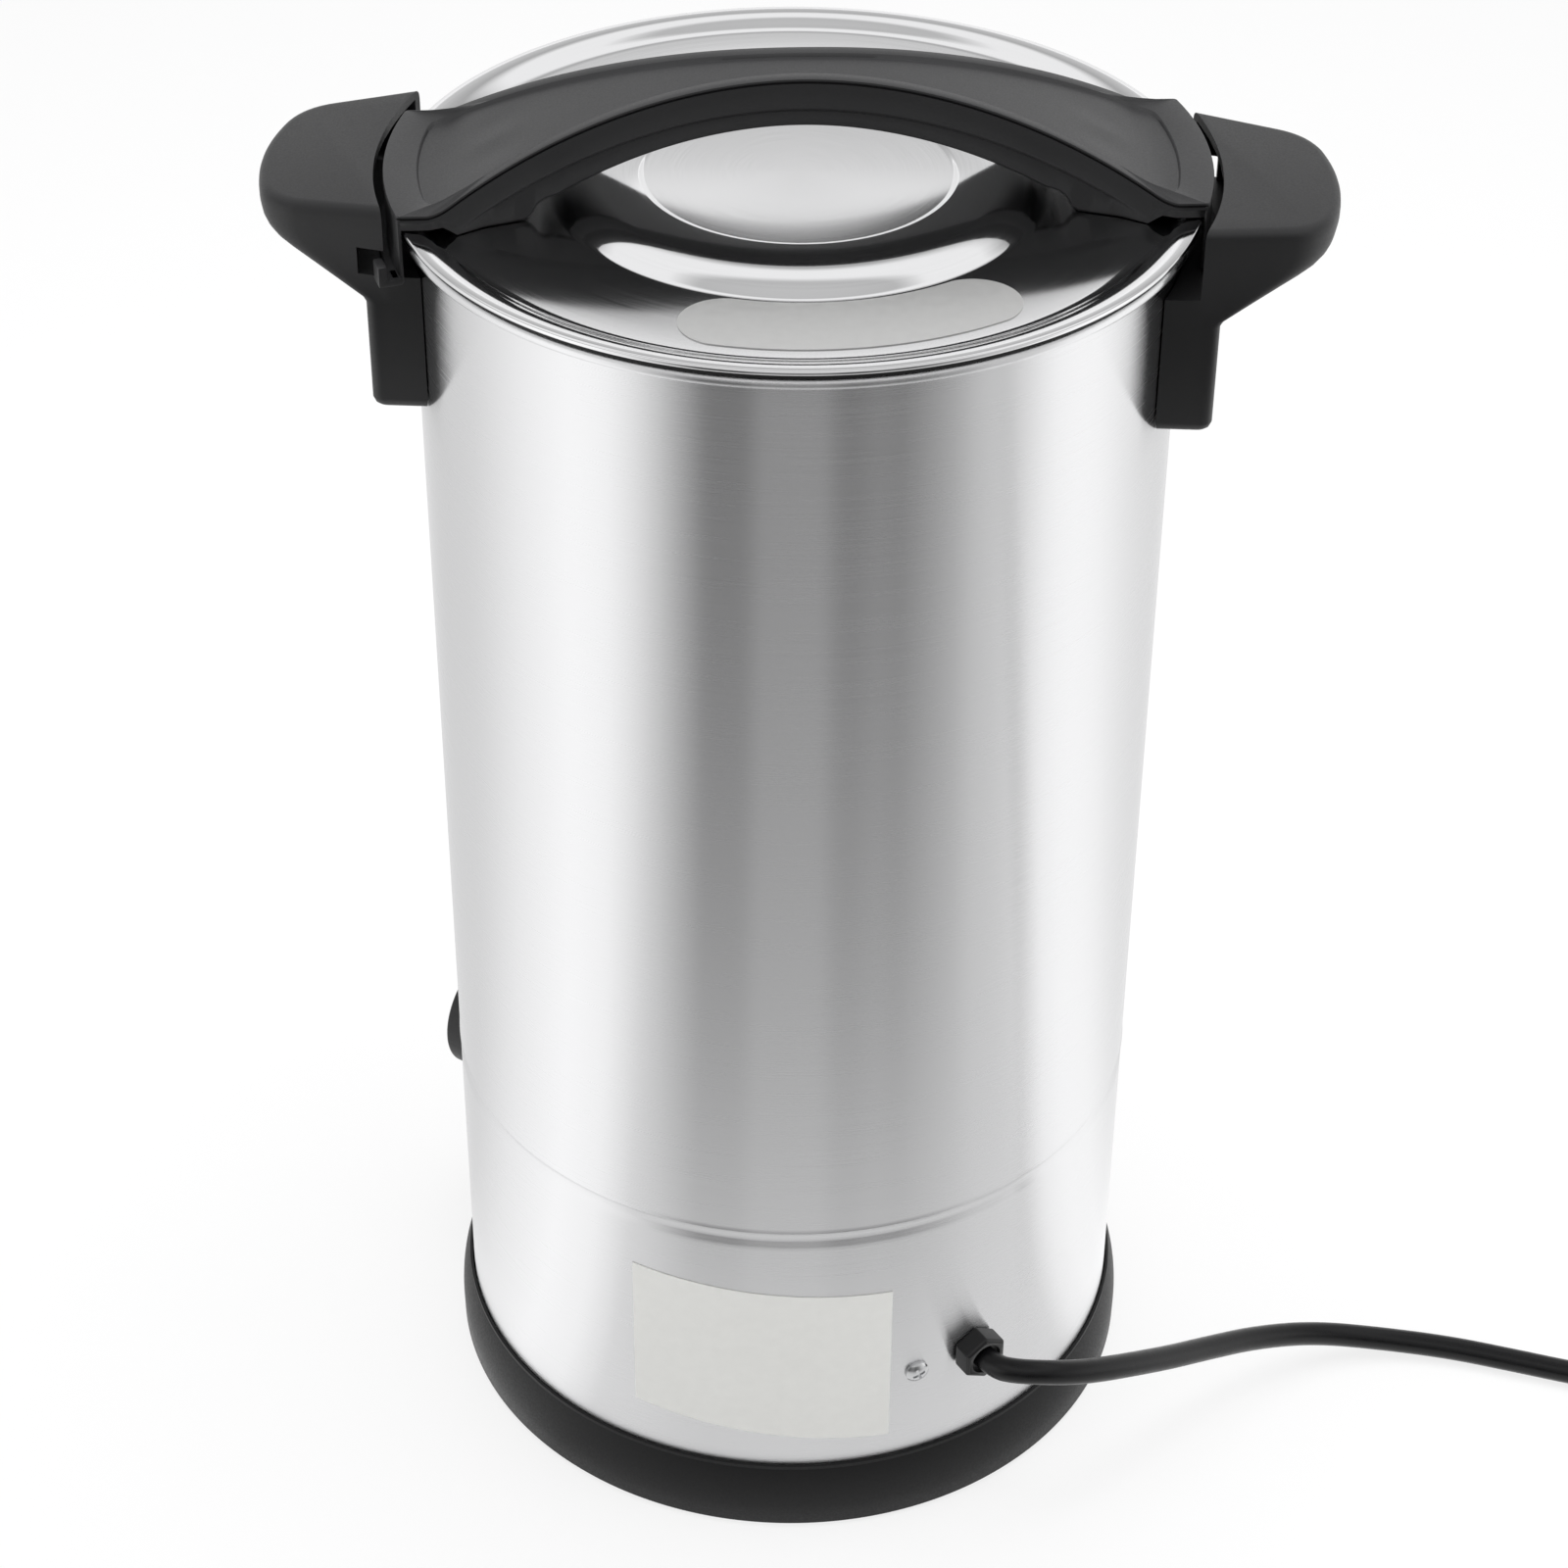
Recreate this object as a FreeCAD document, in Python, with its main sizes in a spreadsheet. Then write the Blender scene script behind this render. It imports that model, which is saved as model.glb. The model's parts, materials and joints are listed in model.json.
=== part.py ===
import FreeCAD, Part
import math
import os
import re
import Sketcher

# A ten litre candle wax melter: a stainless barrel that is the wax tank above a pressed groove and
# the housing of the heater below it, a lid with an arched handle, two side handles and a ball tap.
# The origin is the centre of the base on the table, +Z is up, -Y is the side where the cord
# leaves and +Y the side of the tap.  Bearings are degrees round the barrel from -Y towards +X.

# ---------------------------------------------------------------- driving dimensions, in mm
SIZES = {
    # barrel, its rolled rim and the pressed groove that carries the tank bottom
    "barrel_radius": 110,
    "barrel_wall": 0.8,
    "barrel_seat": 8,
    "rim_height": 426.9,
    "bead_radius": 1.6,
    "bead_reach": 2.6,
    "groove_width": 4.9,
    "groove_arc": 3.8,
    "groove_drop": 0.7,
    # tank bottom and heater
    "tank_floor": 127,
    "tank_sheet": 1,
    "plate_margin": 32,
    "plate_depth": 6,
    "element_margin": 16,
    "element_side": 7,
    "element_angle": 330,
    "heater_pin": 3,
    "heater_pin_drop": 16,
    "cutout_radius": 8,
    "cutout_depth": 9,
    "cutout_offset": 30,
    "rod_radius": 4,
    "rod_end": 1.2,
    "nut_flats": 13,
    "nut_depth": 5.4,
    "washer_radius": 9,
    "washer_sheet": 1.6,
    # base ring, bottom cover and feet
    "base_proud": 3.5,
    "base_wall": 5.5,
    "base_height": 26.4,
    "base_gap": 0.4,
    "shoulder_drop": 5,
    "shoulder_inset": 2.2,
    "shoulder_bend": 8,
    "ledge_width": 12,
    "ledge_depth": 3,
    "cover_sheet": 1,
    "dish_radius": 40,
    "dish_rise": 4.5,
    "foot_radius": 10,
    "foot_margin": 22,
    "foot_proud": 0.8,
    "foot_count": 4,
    # cord gland, earth screw, terminal block and the blank rating sticker at the rear
    "service_height": 62.3,
    "gland_bearing": 35.3,
    "gland_flats": 14.5,
    "gland_head": 7.5,
    "gland_body": 6,
    "gland_tail": 12,
    "gland_recess": 5.4,
    "gland_nut_flats": 16,
    "gland_nut_depth": 5,
    "recess_depth": 2,
    "earth_bearing": 24.5,
    "earth_height": 60.2,
    "earth_length": 11,
    "earth_nut_flats": 7,
    "earth_nut_depth": 3,
    "screw_head": 3.9,
    "screw_shank": 2,
    "block_width": 42,
    "block_depth": 20,
    "block_height": 16,
    "block_bearing": 28.7,
    "block_margin": 39.3,
    "sticker_left": -45,
    "sticker_right": 37.3,
    "sticker_low": 39,
    "sticker_high": 100.6,
    "sticker_drop": 9.1,
    "sticker_sheet": 0.25,
    # thermostat, rocker switch and pilot lamps
    "control_height": 71,
    "knob_bearing": -118.4,
    "knob_radius": 21,
    "knob_depth": 17.5,
    "knob_gap": 2.5,
    "knob_skin": 3,
    "knob_hollow": 9,
    "grip_width": 9,
    "grip_proud": 3,
    "shaft_radius": 3,
    "shaft_depth": 13.5,
    "case_width": 34,
    "case_height": 30,
    "case_depth": 20,
    "case_gap": 2.6,
    "case_screw": 1.5,
    "case_screw_spread": 14,
    "scale_inner": 19,
    "scale_outer": 29,
    "switch_bearing": 118.4,
    "switch_radius": 9.8,
    "switch_depth": 16,
    "bezel_radius": 12,
    "bezel_proud": 2.2,
    "rocker_width": 11,
    "rocker_length": 15,
    "rocker_pin": 1.1,
    "lamp_angle": 8,
    "lamp_radius": 4,
    "lamp_proud": 2.8,
    "lamp_shank": 3.5,
    "lamp_depth": 12,
    # tap
    "tap_rise": 20,
    "shank_radius": 10,
    "shank_inside": 10,
    "shank_outside": 26,
    "bore_radius": 6,
    "flange_radius": 15,
    "flange_sheet": 3,
    "outer_washer": 1.4,
    "inner_washer": 1.6,
    "tap_nut_flats": 28,
    "tap_nut_depth": 5.3,
    "valve_reach": 42,
    "valve_radius": 14,
    "valve_rear_half": 24,
    "valve_front_half": 18,
    "collar_depth": 9,
    "ball_radius": 9.8,
    "seat_reach": 10.4,
    "seat_depth": 3,
    "stem_radius": 3.5,
    "stem_rise": 32,
    "neck_radius": 7,
    "neck_rise": 20,
    "packing_flats": 12,
    "packing_depth": 4,
    "lever_nut_flats": 11,
    "spout_reach": 28.5,
    "spout_radius": 9.5,
    "spout_drop": 40,
    "lever_length": 72,
    "lever_width": 13,
    "lever_sheet": 3,
    "sleeve_wall": 2,
    # side handles
    "handle_drop": 53.4,
    "handle_rise": 9.3,
    "handle_shell": 2.5,
    "handle_inner": 9.5,
    "ledge_drop": 11.4,
    "column_proud": 9,
    "column_half": 39.5,
    "column_fillet": 5,
    "grip_drop": 18.4,
    "grip_reach": 42,
    "grip_half": 30,
    "grip_bow": 57,
    "grip_slope": 12,
    "slot_height": 7.9,
    "slot_reach": 10.7,
    "fixing_drop": 32.9,
    "fixing_angle": 9.5,
    # lid and its seal
    "lid_wall": 0.8,
    "lid_overhang": 5.1,
    "brim_margin": 8.2,
    "brim_rise": 3.1,
    "roll_radius": 0.8,
    "flat_width": 30,
    "crest_margin": 14.8,
    "crest_rise": 5.7,
    "disc_margin": 16,
    "disc_rise": 1,
    "seal_sheet": 1.1,
    "seal_skirt": 7,
    "seal_width": 3.5,
    "label_margin": 0.6,
    "label_width": 25.6,
    "label_start_angle": -11.5,
    "label_end_angle": 37.5,
    # arched handle of the lid, which stands turned a little from the side handles
    "arch_angle": 5.7,
    "arch_overhang": 7,
    "arch_height": 36.3,
    "arch_thick": 14.1,
    "arch_fillet": 12,
    "arch_margin": 6.4,
    "arch_end_height": 8.2,
    "arch_foot_margin": 2.8,
    "waist": 11.1,
    "flare": 34.3,
    "shoulder_margin": 7,
    "panel_inset": 4.8,
    "panel_end": 9.5,
    "panel_sink": 0.8,
    "apron_wall": 1.5,
    "lip_reach": 9,
    "lip_sheet": 2,
    "lug_reach": 12.9,
    "lug_angle": 3,
    "lug_bearing": 14.3,
    "lug_gap": 0.8,
    "lid_screw_margin": 14.2,
    # clearances
    "running_gap": 0.3,
    "bolt_gap": 0.05,
    "hole_gap": 0.2,
    "film_gap": 0.05,
    "face_gap": 0.1,
    # mains cord, put-away coil and plug
    "cord_radius": 4,
    "coil_inner": 33.5,
    "coil_outer": 54.5,
    "plug_radius": 18.5,
    "plug_length": 34,
    "plug_back": 24,
    "boot_length": 22,
    "pin_spacing": 19,
    "plug_pin_radius": 2.4,
    "plug_pin_length": 19,
}

# sizes that follow from the ones above
FOLLOWING = {
    "barrel_inside": "barrel_radius - barrel_wall",
    "barrel_face": "barrel_radius + face_gap",
    "film_inside": "barrel_radius + film_gap",
    "film_outside": "film_inside + sticker_sheet",
    "rim_top": "rim_height + bead_radius",
    "groove_high": "tank_floor - groove_drop",
    "groove_low": "groove_high - groove_width",
    "plate_radius": "barrel_radius - plate_margin",
    "plate_under": "tank_floor - plate_depth",
    "element_radius": "plate_radius - element_margin",
    "base_radius": "barrel_radius + base_proud",
    "base_inside": "base_radius - base_wall",
    "cover_top": "barrel_seat - ledge_depth",
    "cover_under": "cover_top - cover_sheet",
    "cover_radius": "base_inside - base_gap",
    "dish_under": "cover_under + dish_rise",
    "foot_circle": "barrel_radius - foot_margin",
    "knob_back": "barrel_radius + knob_gap",
    "case_front": "barrel_inside - case_gap",
    "tap_height": "tank_floor + tap_rise",
    "shank_start": "barrel_radius - shank_inside",
    "valve_centre": "barrel_radius + valve_reach",
    "valve_rear": "valve_centre - valve_rear_half",
    "valve_front": "valve_centre + valve_front_half",
    "spout_axis": "valve_centre + spout_reach",
    "handle_bottom": "rim_height - handle_drop",
    "handle_top": "rim_height + handle_rise",
    "ledge_height": "rim_height - ledge_drop",
    "grip_start": "rim_height - grip_drop",
    "grip_end": "barrel_radius + grip_reach",
    "column_reach": "barrel_radius + column_proud",
    "handle_start": "barrel_radius - column_proud",
    "fixing_height": "rim_height - fixing_drop",
    "seal_under": "rim_top + running_gap",
    "seal_top": "seal_under + seal_sheet",
    "roll_centre": "seal_top + running_gap + roll_radius",
    "lid_height": "roll_centre + roll_radius - 0.1 - brim_rise",
    "lid_radius": "barrel_radius + lid_overhang",
    "brim_start": "barrel_radius - brim_margin",
    "dome_radius": "brim_start - flat_width",
    "crest_radius": "dome_radius - crest_margin",
    "disc_radius": "crest_radius - disc_margin",
    "label_inner": "dome_radius + label_margin",
    "label_outer": "label_inner + label_width",
    "lid_screw_circle": "dome_radius + lid_screw_margin",
    "arch_radius": "barrel_radius + arch_overhang",
    "arch_top": "lid_height + arch_height",
    "arch_under": "arch_top - arch_thick",
    "arch_end": "lid_height + arch_end_height",
    "arch_span": "barrel_radius - arch_margin",
    "arch_foot": "dome_radius - arch_foot_margin",
    "arch_shoulder": "barrel_radius - shoulder_margin",
    "apron_bottom": "ledge_height + lug_gap",
    "cord_reach": "barrel_face + gland_head - recess_depth",
    "cord_x": "cord_reach * sin(gland_bearing)",
    "cord_y": "-cord_reach * cos(gland_bearing)",
    "cord_lie": "cord_radius + face_gap",
    "coil_depth": "4 * cord_radius",
}
NAMES = set(SIZES) | set(FOLLOWING)

V = FreeCAD.Vector
doc = FreeCAD.newDocument("CandleWaxMelter")
sheet = doc.addObject("Spreadsheet::Sheet", "Sizes")
rows = list(SIZES.items()) + [(alias, "=" + text) for alias, text in FOLLOWING.items()]
for row, (alias, size) in enumerate(rows, start=1):
    sheet.set("A%d" % row, alias)
    sheet.set("B%d" % row, str(size))
    sheet.setAlias("B%d" % row, alias)
doc.recompute()
NODES = {}


# ---------------------------------------------------------------- helpers
def linked(text):
    """Point every size named in an expression at its spreadsheet cell."""
    return re.sub(r"[a-z][a-z_]*", lambda word: "Sizes." * (word.group() in NAMES) + word.group(), text)


def number(text):
    """The present value of an expression."""
    value = sheet.evalExpression(linked(text))
    return float(getattr(value, "Value", value))


def keep(label, shape):
    """Name a finished sub-part; the name is also its file's name."""
    shape.Label = label
    NODES[label] = shape


def bind(thing, **texts):
    """Tie properties of an object to the sheet."""
    for name, text in texts.items():
        thing.setExpression(name, linked(text))
    return thing


def at(x, y, z, turn="rotation(0; 0; 0)"):
    """A place, with an optional rotation, as expression text."""
    return "placement(vector(%s; %s; %s); %s)" % (x, y, z, turn)


def facing(bearing, reach, height, across="0", spin="0"):
    """A place on the barrel whose +Z points outwards and +Y points up, shifted sideways by across."""
    x = "(%s) * sin(%s) + (%s) * cos(%s)" % (reach, bearing, across, bearing)
    y = "(%s) * sin(%s) - (%s) * cos(%s)" % (across, bearing, reach, bearing)
    return at(x, y, height, "rotation(%s; 0; 90) * rotation(%s; 0; 0)" % (bearing, spin))


def new_sketch(body, plane, offset="0"):
    """A sketch on one of the body's own origin planes, moved along its normal by offset."""
    sketch = body.newObject("Sketcher::SketchObject", "Outline")
    support = [face for face in body.Origin.OriginFeatures if face.Role == plane]
    sketch.AttachmentSupport = [(support[0], "")]
    sketch.MapMode = "FlatFace"
    sketch.setExpression("AttachmentOffset.Base.z", linked(offset))
    return sketch


def arc_between(start, end, bend):
    """The arc from start to end: a positive bend turns left on its way, a negative one right."""
    chord = end - start
    rise = math.sqrt(max(bend * bend - chord.Length ** 2 / 4, 0))
    left = V(-chord.y, chord.x, 0).normalize()
    centre = (start + end) * 0.5 + left * math.copysign(rise, bend)
    first, last = (start, end) if bend > 0 else (end, start)
    angles = [math.atan2(spot.y - centre.y, spot.x - centre.x) for spot in (first, last)]
    return Part.ArcOfCircle(Part.Circle(centre, V(0, 0, 1), abs(bend)), *angles)


def hold(sketch, edge, end, x, y):
    """Fix one point of the sketch to two expressions."""
    for kind, axis, text in (("DistanceX", -2, x), ("DistanceY", -1, y)):
        if text == "0":
            sketch.addConstraint(Sketcher.Constraint("PointOnObject", edge, end, axis))
        else:
            index = sketch.addConstraint(Sketcher.Constraint(kind, -1, 1, edge, end, number(text)))
            sketch.setExpression("Constraints[%d]" % index, linked(text))


def draw(sketch, corners):
    """A closed loop through corners (x, y) or (x, y, bend of the arc that arrives there)."""
    spots = [V(number(corner[0]), number(corner[1]), 0) for corner in corners]
    edges = []
    for index, corner in enumerate(corners):
        start, end = spots[index - 1], spots[index]
        if len(corner) == 3:
            bend = number(corner[2])
            edge = sketch.addGeometry(arc_between(start, end, bend))
            edges.append((edge, 1, 2) if bend > 0 else (edge, 2, 1))
        else:
            edges.append((sketch.addGeometry(Part.LineSegment(start, end)), 1, 2))
    for index, (edge, _, last) in enumerate(edges):
        following, first, _ = edges[(index + 1) % len(edges)]
        sketch.addConstraint(Sketcher.Constraint("Coincident", edge, last, following, first))
    for (edge, _, last), corner in zip(edges, corners):
        hold(sketch, edge, last, corner[0], corner[1])
        if len(corner) == 3:
            radius = Sketcher.Constraint("Radius", edge, abs(number(corner[2])))
            index = sketch.addConstraint(radius)
            sketch.setExpression("Constraints[%d]" % index, "abs(%s)" % linked(corner[2]))


def turned(corners, place=None, sweep="360"):
    """A body of revolution about Z from an outline of (radius, height) corners."""
    body = doc.addObject("PartDesign::Body", "Turned")
    sketch = new_sketch(body, "XZ_Plane")
    draw(sketch, corners)
    feature = body.newObject("PartDesign::Revolution", "Revolution")
    feature.Profile = sketch
    feature.ReferenceAxis = (sketch, ["V_Axis"])
    bind(feature, Angle=sweep)
    if place:
        bind(body, Placement=place)
    return body


def prism(corners, plane, start, length, place=None):
    """A body padded from an outline on an origin plane, from start for length."""
    body = doc.addObject("PartDesign::Body", "Prism")
    sketch = new_sketch(body, plane, start)
    draw(sketch, corners)
    feature = body.newObject("PartDesign::Pad", "Pad")
    feature.Profile = sketch
    bind(feature, Length=length)
    if place:
        bind(body, Placement=place)
    return body


def lofted(lower, low, upper, high):
    """A body lofted upwards between two outlines with the same number of corners."""
    body = doc.addObject("PartDesign::Body", "Lofted")
    first = new_sketch(body, "XY_Plane", low)
    draw(first, lower)
    second = new_sketch(body, "XY_Plane", high)
    draw(second, upper)
    feature = body.newObject("PartDesign::AdditiveLoft", "Loft")
    feature.Profile = first
    feature.Sections = [second]
    feature.Ruled = True
    return body


def tube(inner, outer, low, high, place=None):
    """A ring or bush with a square section."""
    return turned([(inner, low), (outer, low), (outer, high), (inner, high)], place)


def cylinder(radius, length, place, sweep="360"):
    return bind(doc.addObject("Part::Cylinder", "Cylinder"), Radius=radius, Height=length,
                Angle=sweep, Placement=place)


def ball(radius, place):
    return bind(doc.addObject("Part::Sphere", "Ball"), Radius=radius, Placement=place)


def block(x, y, z, place):
    """A box centred on its place in X and Y and standing on it in Z."""
    right, back = "(%s) / 2" % x, "(%s) / 2" % y
    left, front = "-" + right, "-" + back
    return prism([(left, front), (right, front), (right, back), (left, back)], "XY_Plane", "0", z, place)


def hexagon(flats, length, place):
    """A hexagonal prism by its width across flats, standing on its place."""
    tip, half = "(%s) / sqrt(3)" % flats, "(%s) / 2" % flats
    return prism([("0", "-" + tip), (half, "-%s / 2" % tip), (half, tip + " / 2"), ("0", tip),
                  ("-" + half, tip + " / 2"), ("-" + half, "-%s / 2" % tip)], "XY_Plane", "0", length, place)


def hex_nut(flats, bore, depth, place):
    return cut(hexagon(flats, depth, place), cylinder(bore, depth, place))


def joined(*shapes):
    whole = doc.addObject("Part::MultiFuse", "Joined")
    whole.Shapes = list(shapes)
    whole.Refine = True
    return whole


def cut(base, *tools):
    rest = doc.addObject("Part::Cut", "Cut")
    rest.Base = base
    rest.Tool = tools[0] if len(tools) == 1 else joined(*tools)
    return rest


def shared(first, second):
    both = doc.addObject("Part::Common", "Shared")
    both.Base = first
    both.Tool = second
    return both


def grouped(*shapes):
    """Separate solids that share one node."""
    group = doc.addObject("Part::Compound", "Group")
    group.Links = list(shapes)
    return group


def rounded(shape, radius, chosen):
    """Round the edges of a shape that a test picks."""
    doc.recompute()
    fillet = doc.addObject("Part::Fillet", "Rounded")
    fillet.Base = shape
    size = number(radius)
    fillet.Edges = [(index, size, size) for index, edge in enumerate(shape.Shape.Edges, start=1)
                    if chosen(edge)]
    return fillet


def every(edge):
    return True


def middle(edge):
    """The point half way along an edge."""
    return edge.valueAt((edge.FirstParameter + edge.LastParameter) / 2)


def ogee(x, y, end_x, end_y, share, turn):
    """Two corners of an S curve, level at both ends; share is the first arc's part of it."""
    across, up = "((%s) - (%s))" % (end_x, x), "((%s) - (%s))" % (end_y, y)
    whole = "((%s ^ 2 + %s ^ 2) / (2 * abs(%s)))" % (across, up, up)
    meeting = ("%s + %s * %s" % (x, share, across), "%s + %s * %s" % (y, share, up))
    return [meeting + ("%d * %s * %s" % (turn, share, whole),),
            (end_x, end_y, "%d * (1 - %s) * %s" % (-turn, share, whole))]


def pan_screw(head, head_depth, shank, length, place):
    """A pan head screw: the shank points along -Z from its place, the head stands on +Z."""
    return turned([("0", "-(%s)" % length), (shank, "-(%s)" % length), (shank, "0"), (head, "0"),
                   (head, "0.4 * (%s)" % head_depth),
                   ("0.35 * (%s)" % head, head_depth, "1.3 * (%s)" % head), ("0", head_depth)], place)


def cross_recess(head, head_depth, place):
    """Two crossed slots for a screwdriver."""
    return joined(block("1.1 * (%s)" % head, "0.24 * (%s)" % head, head_depth, place),
                  block("0.24 * (%s)" % head, "1.1 * (%s)" % head, head_depth, place))


# ---------------------------------------------------------------- barrel, tank bottom and heater
def wall_hole(radius, bearing, height, across="0"):
    """A drill that reaches through the barrel's wall."""
    place = facing(bearing, "barrel_radius - 6 * barrel_wall", height, across)
    return cylinder(radius, "12 * barrel_wall", place)


def make_barrel():
    bead = "barrel_radius + bead_reach"
    under = "rim_height - bead_radius"
    skin = turned([
        ("barrel_radius", "barrel_seat"),
        ("barrel_radius", "groove_low"),
        ("barrel_radius", "groove_high", "-groove_arc"),
        ("barrel_radius", under + " - barrel_wall"),
        ("barrel_radius + barrel_wall", under, "-barrel_wall"),
        (bead, under),
        (bead + " + bead_radius", "rim_height", "bead_radius"),
        (bead, "rim_top", "bead_radius"),
        ("barrel_inside", "rim_top - barrel_wall - bead_reach", "barrel_wall + bead_reach"),
        ("barrel_inside", "groove_high"),
        ("barrel_inside", "groove_low", "groove_arc"),
        ("barrel_inside", "barrel_seat"),
    ])
    holes = [
        wall_hole("gland_body + hole_gap", "gland_bearing", "service_height"),
        wall_hole("screw_shank + hole_gap", "earth_bearing", "earth_height"),
        wall_hole("1.5 * shaft_radius", "knob_bearing", "control_height"),
        wall_hole("switch_radius + hole_gap", "switch_bearing", "control_height"),
        wall_hole("shank_radius + hole_gap", "180", "tap_height"),
    ]
    for side in (-1, 1):
        spread = "%d * case_screw_spread" % side
        holes.append(wall_hole("case_screw + hole_gap", "knob_bearing", "control_height", spread))
        holes.append(wall_hole("lamp_shank + hole_gap", "(180 + %d * lamp_angle)" % side, "control_height"))
        for handle in (90, 270):
            bearing = "(%d + %d * fixing_angle)" % (handle, side)
            holes.append(wall_hole("screw_shank + hole_gap", bearing, "fixing_height"))
    keep("barrel", cut(skin, *holes))


def make_tank_bottom():
    """A flat disc just above the pressed groove, welded into the barrel round its edge."""
    keep("tank_bottom", cylinder("barrel_inside - face_gap", "tank_sheet", at("0", "0", "tank_floor")))


def make_heater():
    keep("heating_plate", tube("rod_radius + bolt_gap", "plate_radius", "plate_under", "tank_floor"))
    inner, outer = "element_radius - element_side / 2", "element_radius + element_side / 2"
    low = "plate_under - element_side"
    ring = turned([(inner, low), (outer, low), (outer, "plate_under"), (inner, "plate_under")],
                  sweep="element_angle")
    pins = []
    for angle in ("heater_pin", "element_angle - heater_pin"):
        pins.append(cylinder("heater_pin", "heater_pin_drop + element_side / 2",
                             at("element_radius * cos(%s)" % angle, "element_radius * sin(%s)" % angle,
                                low + " - heater_pin_drop")))
    keep("heating_element", joined(ring, *pins))
    keep("tie_rod", cylinder("rod_radius", "tank_floor - rod_end", at("0", "0", "rod_end")))
    keep("plate_nut", hex_nut("nut_flats", "rod_radius + bolt_gap", "nut_depth",
                              at("0", "0", "plate_under - nut_depth")))
    keep("thermal_cutout", cylinder("cutout_radius", "cutout_depth",
                                    at("-cutout_offset", "0", "plate_under - cutout_depth")))


# ---------------------------------------------------------------- base
def make_base():
    seat, ledge = "barrel_radius + base_gap", "barrel_radius - ledge_width"
    keep("base_ring", turned([
        ("base_inside", "foot_proud"), ("base_radius", "foot_proud"),
        ("base_radius - 0.1 * shoulder_inset", "base_height - shoulder_drop"),
        ("base_radius - shoulder_inset", "base_height", "shoulder_bend"), (seat, "base_height"),
        (seat, "barrel_seat"), (ledge, "barrel_seat"), (ledge, "cover_top"),
        ("base_inside", "cover_top"),
    ]))
    hole = "rod_radius + running_gap"
    slope = "1.2 * dish_rise"
    keep("bottom_cover", turned([
        (hole, "dish_under"), ("dish_radius", "dish_under"), ("dish_radius + " + slope, "cover_under"),
        ("cover_radius", "cover_under"), ("cover_radius", "cover_top"),
        ("dish_radius + cover_sheet + " + slope, "cover_top"),
        ("dish_radius + cover_sheet", "dish_under + cover_sheet"), (hole, "dish_under + cover_sheet"),
    ]))
    keep("tie_washer", tube(hole, "washer_radius", "dish_under - washer_sheet", "dish_under"))
    keep("tie_nut", hex_nut("nut_flats", "rod_radius + bolt_gap", "nut_depth",
                            at("0", "0", "dish_under - washer_sheet - nut_depth")))
    feet = []
    for index in range(int(number("foot_count"))):
        angle = "(45 + %d * 360 / foot_count)" % index
        feet.append(turned([("0", "0"), ("0.8 * foot_radius", "0"), ("foot_radius", "0.75 * cover_under"),
                            ("foot_radius", "cover_under"), ("0", "cover_under")],
                           at("foot_circle * cos(%s)" % angle, "foot_circle * sin(%s)" % angle, "0")))
    keep("rubber_feet", grouped(*feet))


# ---------------------------------------------------------------- rear of the housing
def make_gland():
    def on_axis(reach):
        return facing("gland_bearing", reach, "service_height")

    head = rounded(hexagon("gland_flats", "gland_head", on_axis("barrel_face")), "0.16 * gland_head", every)
    tail = cylinder("gland_body", "gland_tail + 0.1 * gland_head", on_axis("barrel_face - gland_tail"))
    recess = cylinder("gland_recess", "2 * recess_depth", on_axis("cord_reach"))
    keep("cord_gland", cut(joined(head, tail), recess))
    keep("gland_nut", hex_nut("gland_nut_flats", "gland_body + bolt_gap", "gland_nut_depth",
                              on_axis("barrel_inside - running_gap - gland_nut_depth - face_gap")))


def make_earth_screw():
    def on_axis(reach, spin="0"):
        return facing("earth_bearing", reach, "earth_height", "0", spin)

    head_depth = "0.6 * screw_head"
    screw = pan_screw("screw_head", head_depth, "screw_shank", "earth_length", on_axis("film_inside"))
    slot = cross_recess("screw_head", "screw_head", on_axis("film_inside + 0.5 * " + head_depth, "20"))
    keep("earth_screw", cut(screw, slot))
    keep("earth_nut", hex_nut("earth_nut_flats", "screw_shank + bolt_gap", "earth_nut_depth",
                              on_axis("barrel_inside - earth_nut_depth - hole_gap")))


def make_sticker():
    """The blank sticker's sides are upright and it slopes down towards the cord, its lower edge most."""
    skin = tube("film_inside", "film_outside", "sticker_low - sticker_drop", "sticker_high + sticker_drop")
    label = prism([("sticker_left", "sticker_low + sticker_drop / 2"),
                   ("sticker_right", "sticker_low - sticker_drop / 2"),
                   ("sticker_right", "sticker_high - 0.3 * sticker_drop"),
                   ("sticker_left", "sticker_high + 0.3 * sticker_drop")],
                  "XZ_Plane", "barrel_radius / 2", "barrel_radius")
    keep("rating_sticker", shared(skin, label))


def make_terminal_block():
    reach = "(barrel_radius - block_margin)"
    place = at(reach + " * sin(block_bearing)", "-%s * cos(block_bearing)" % reach, "cover_top")
    keep("terminal_block", block("block_width", "block_depth", "block_height", place))


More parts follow.
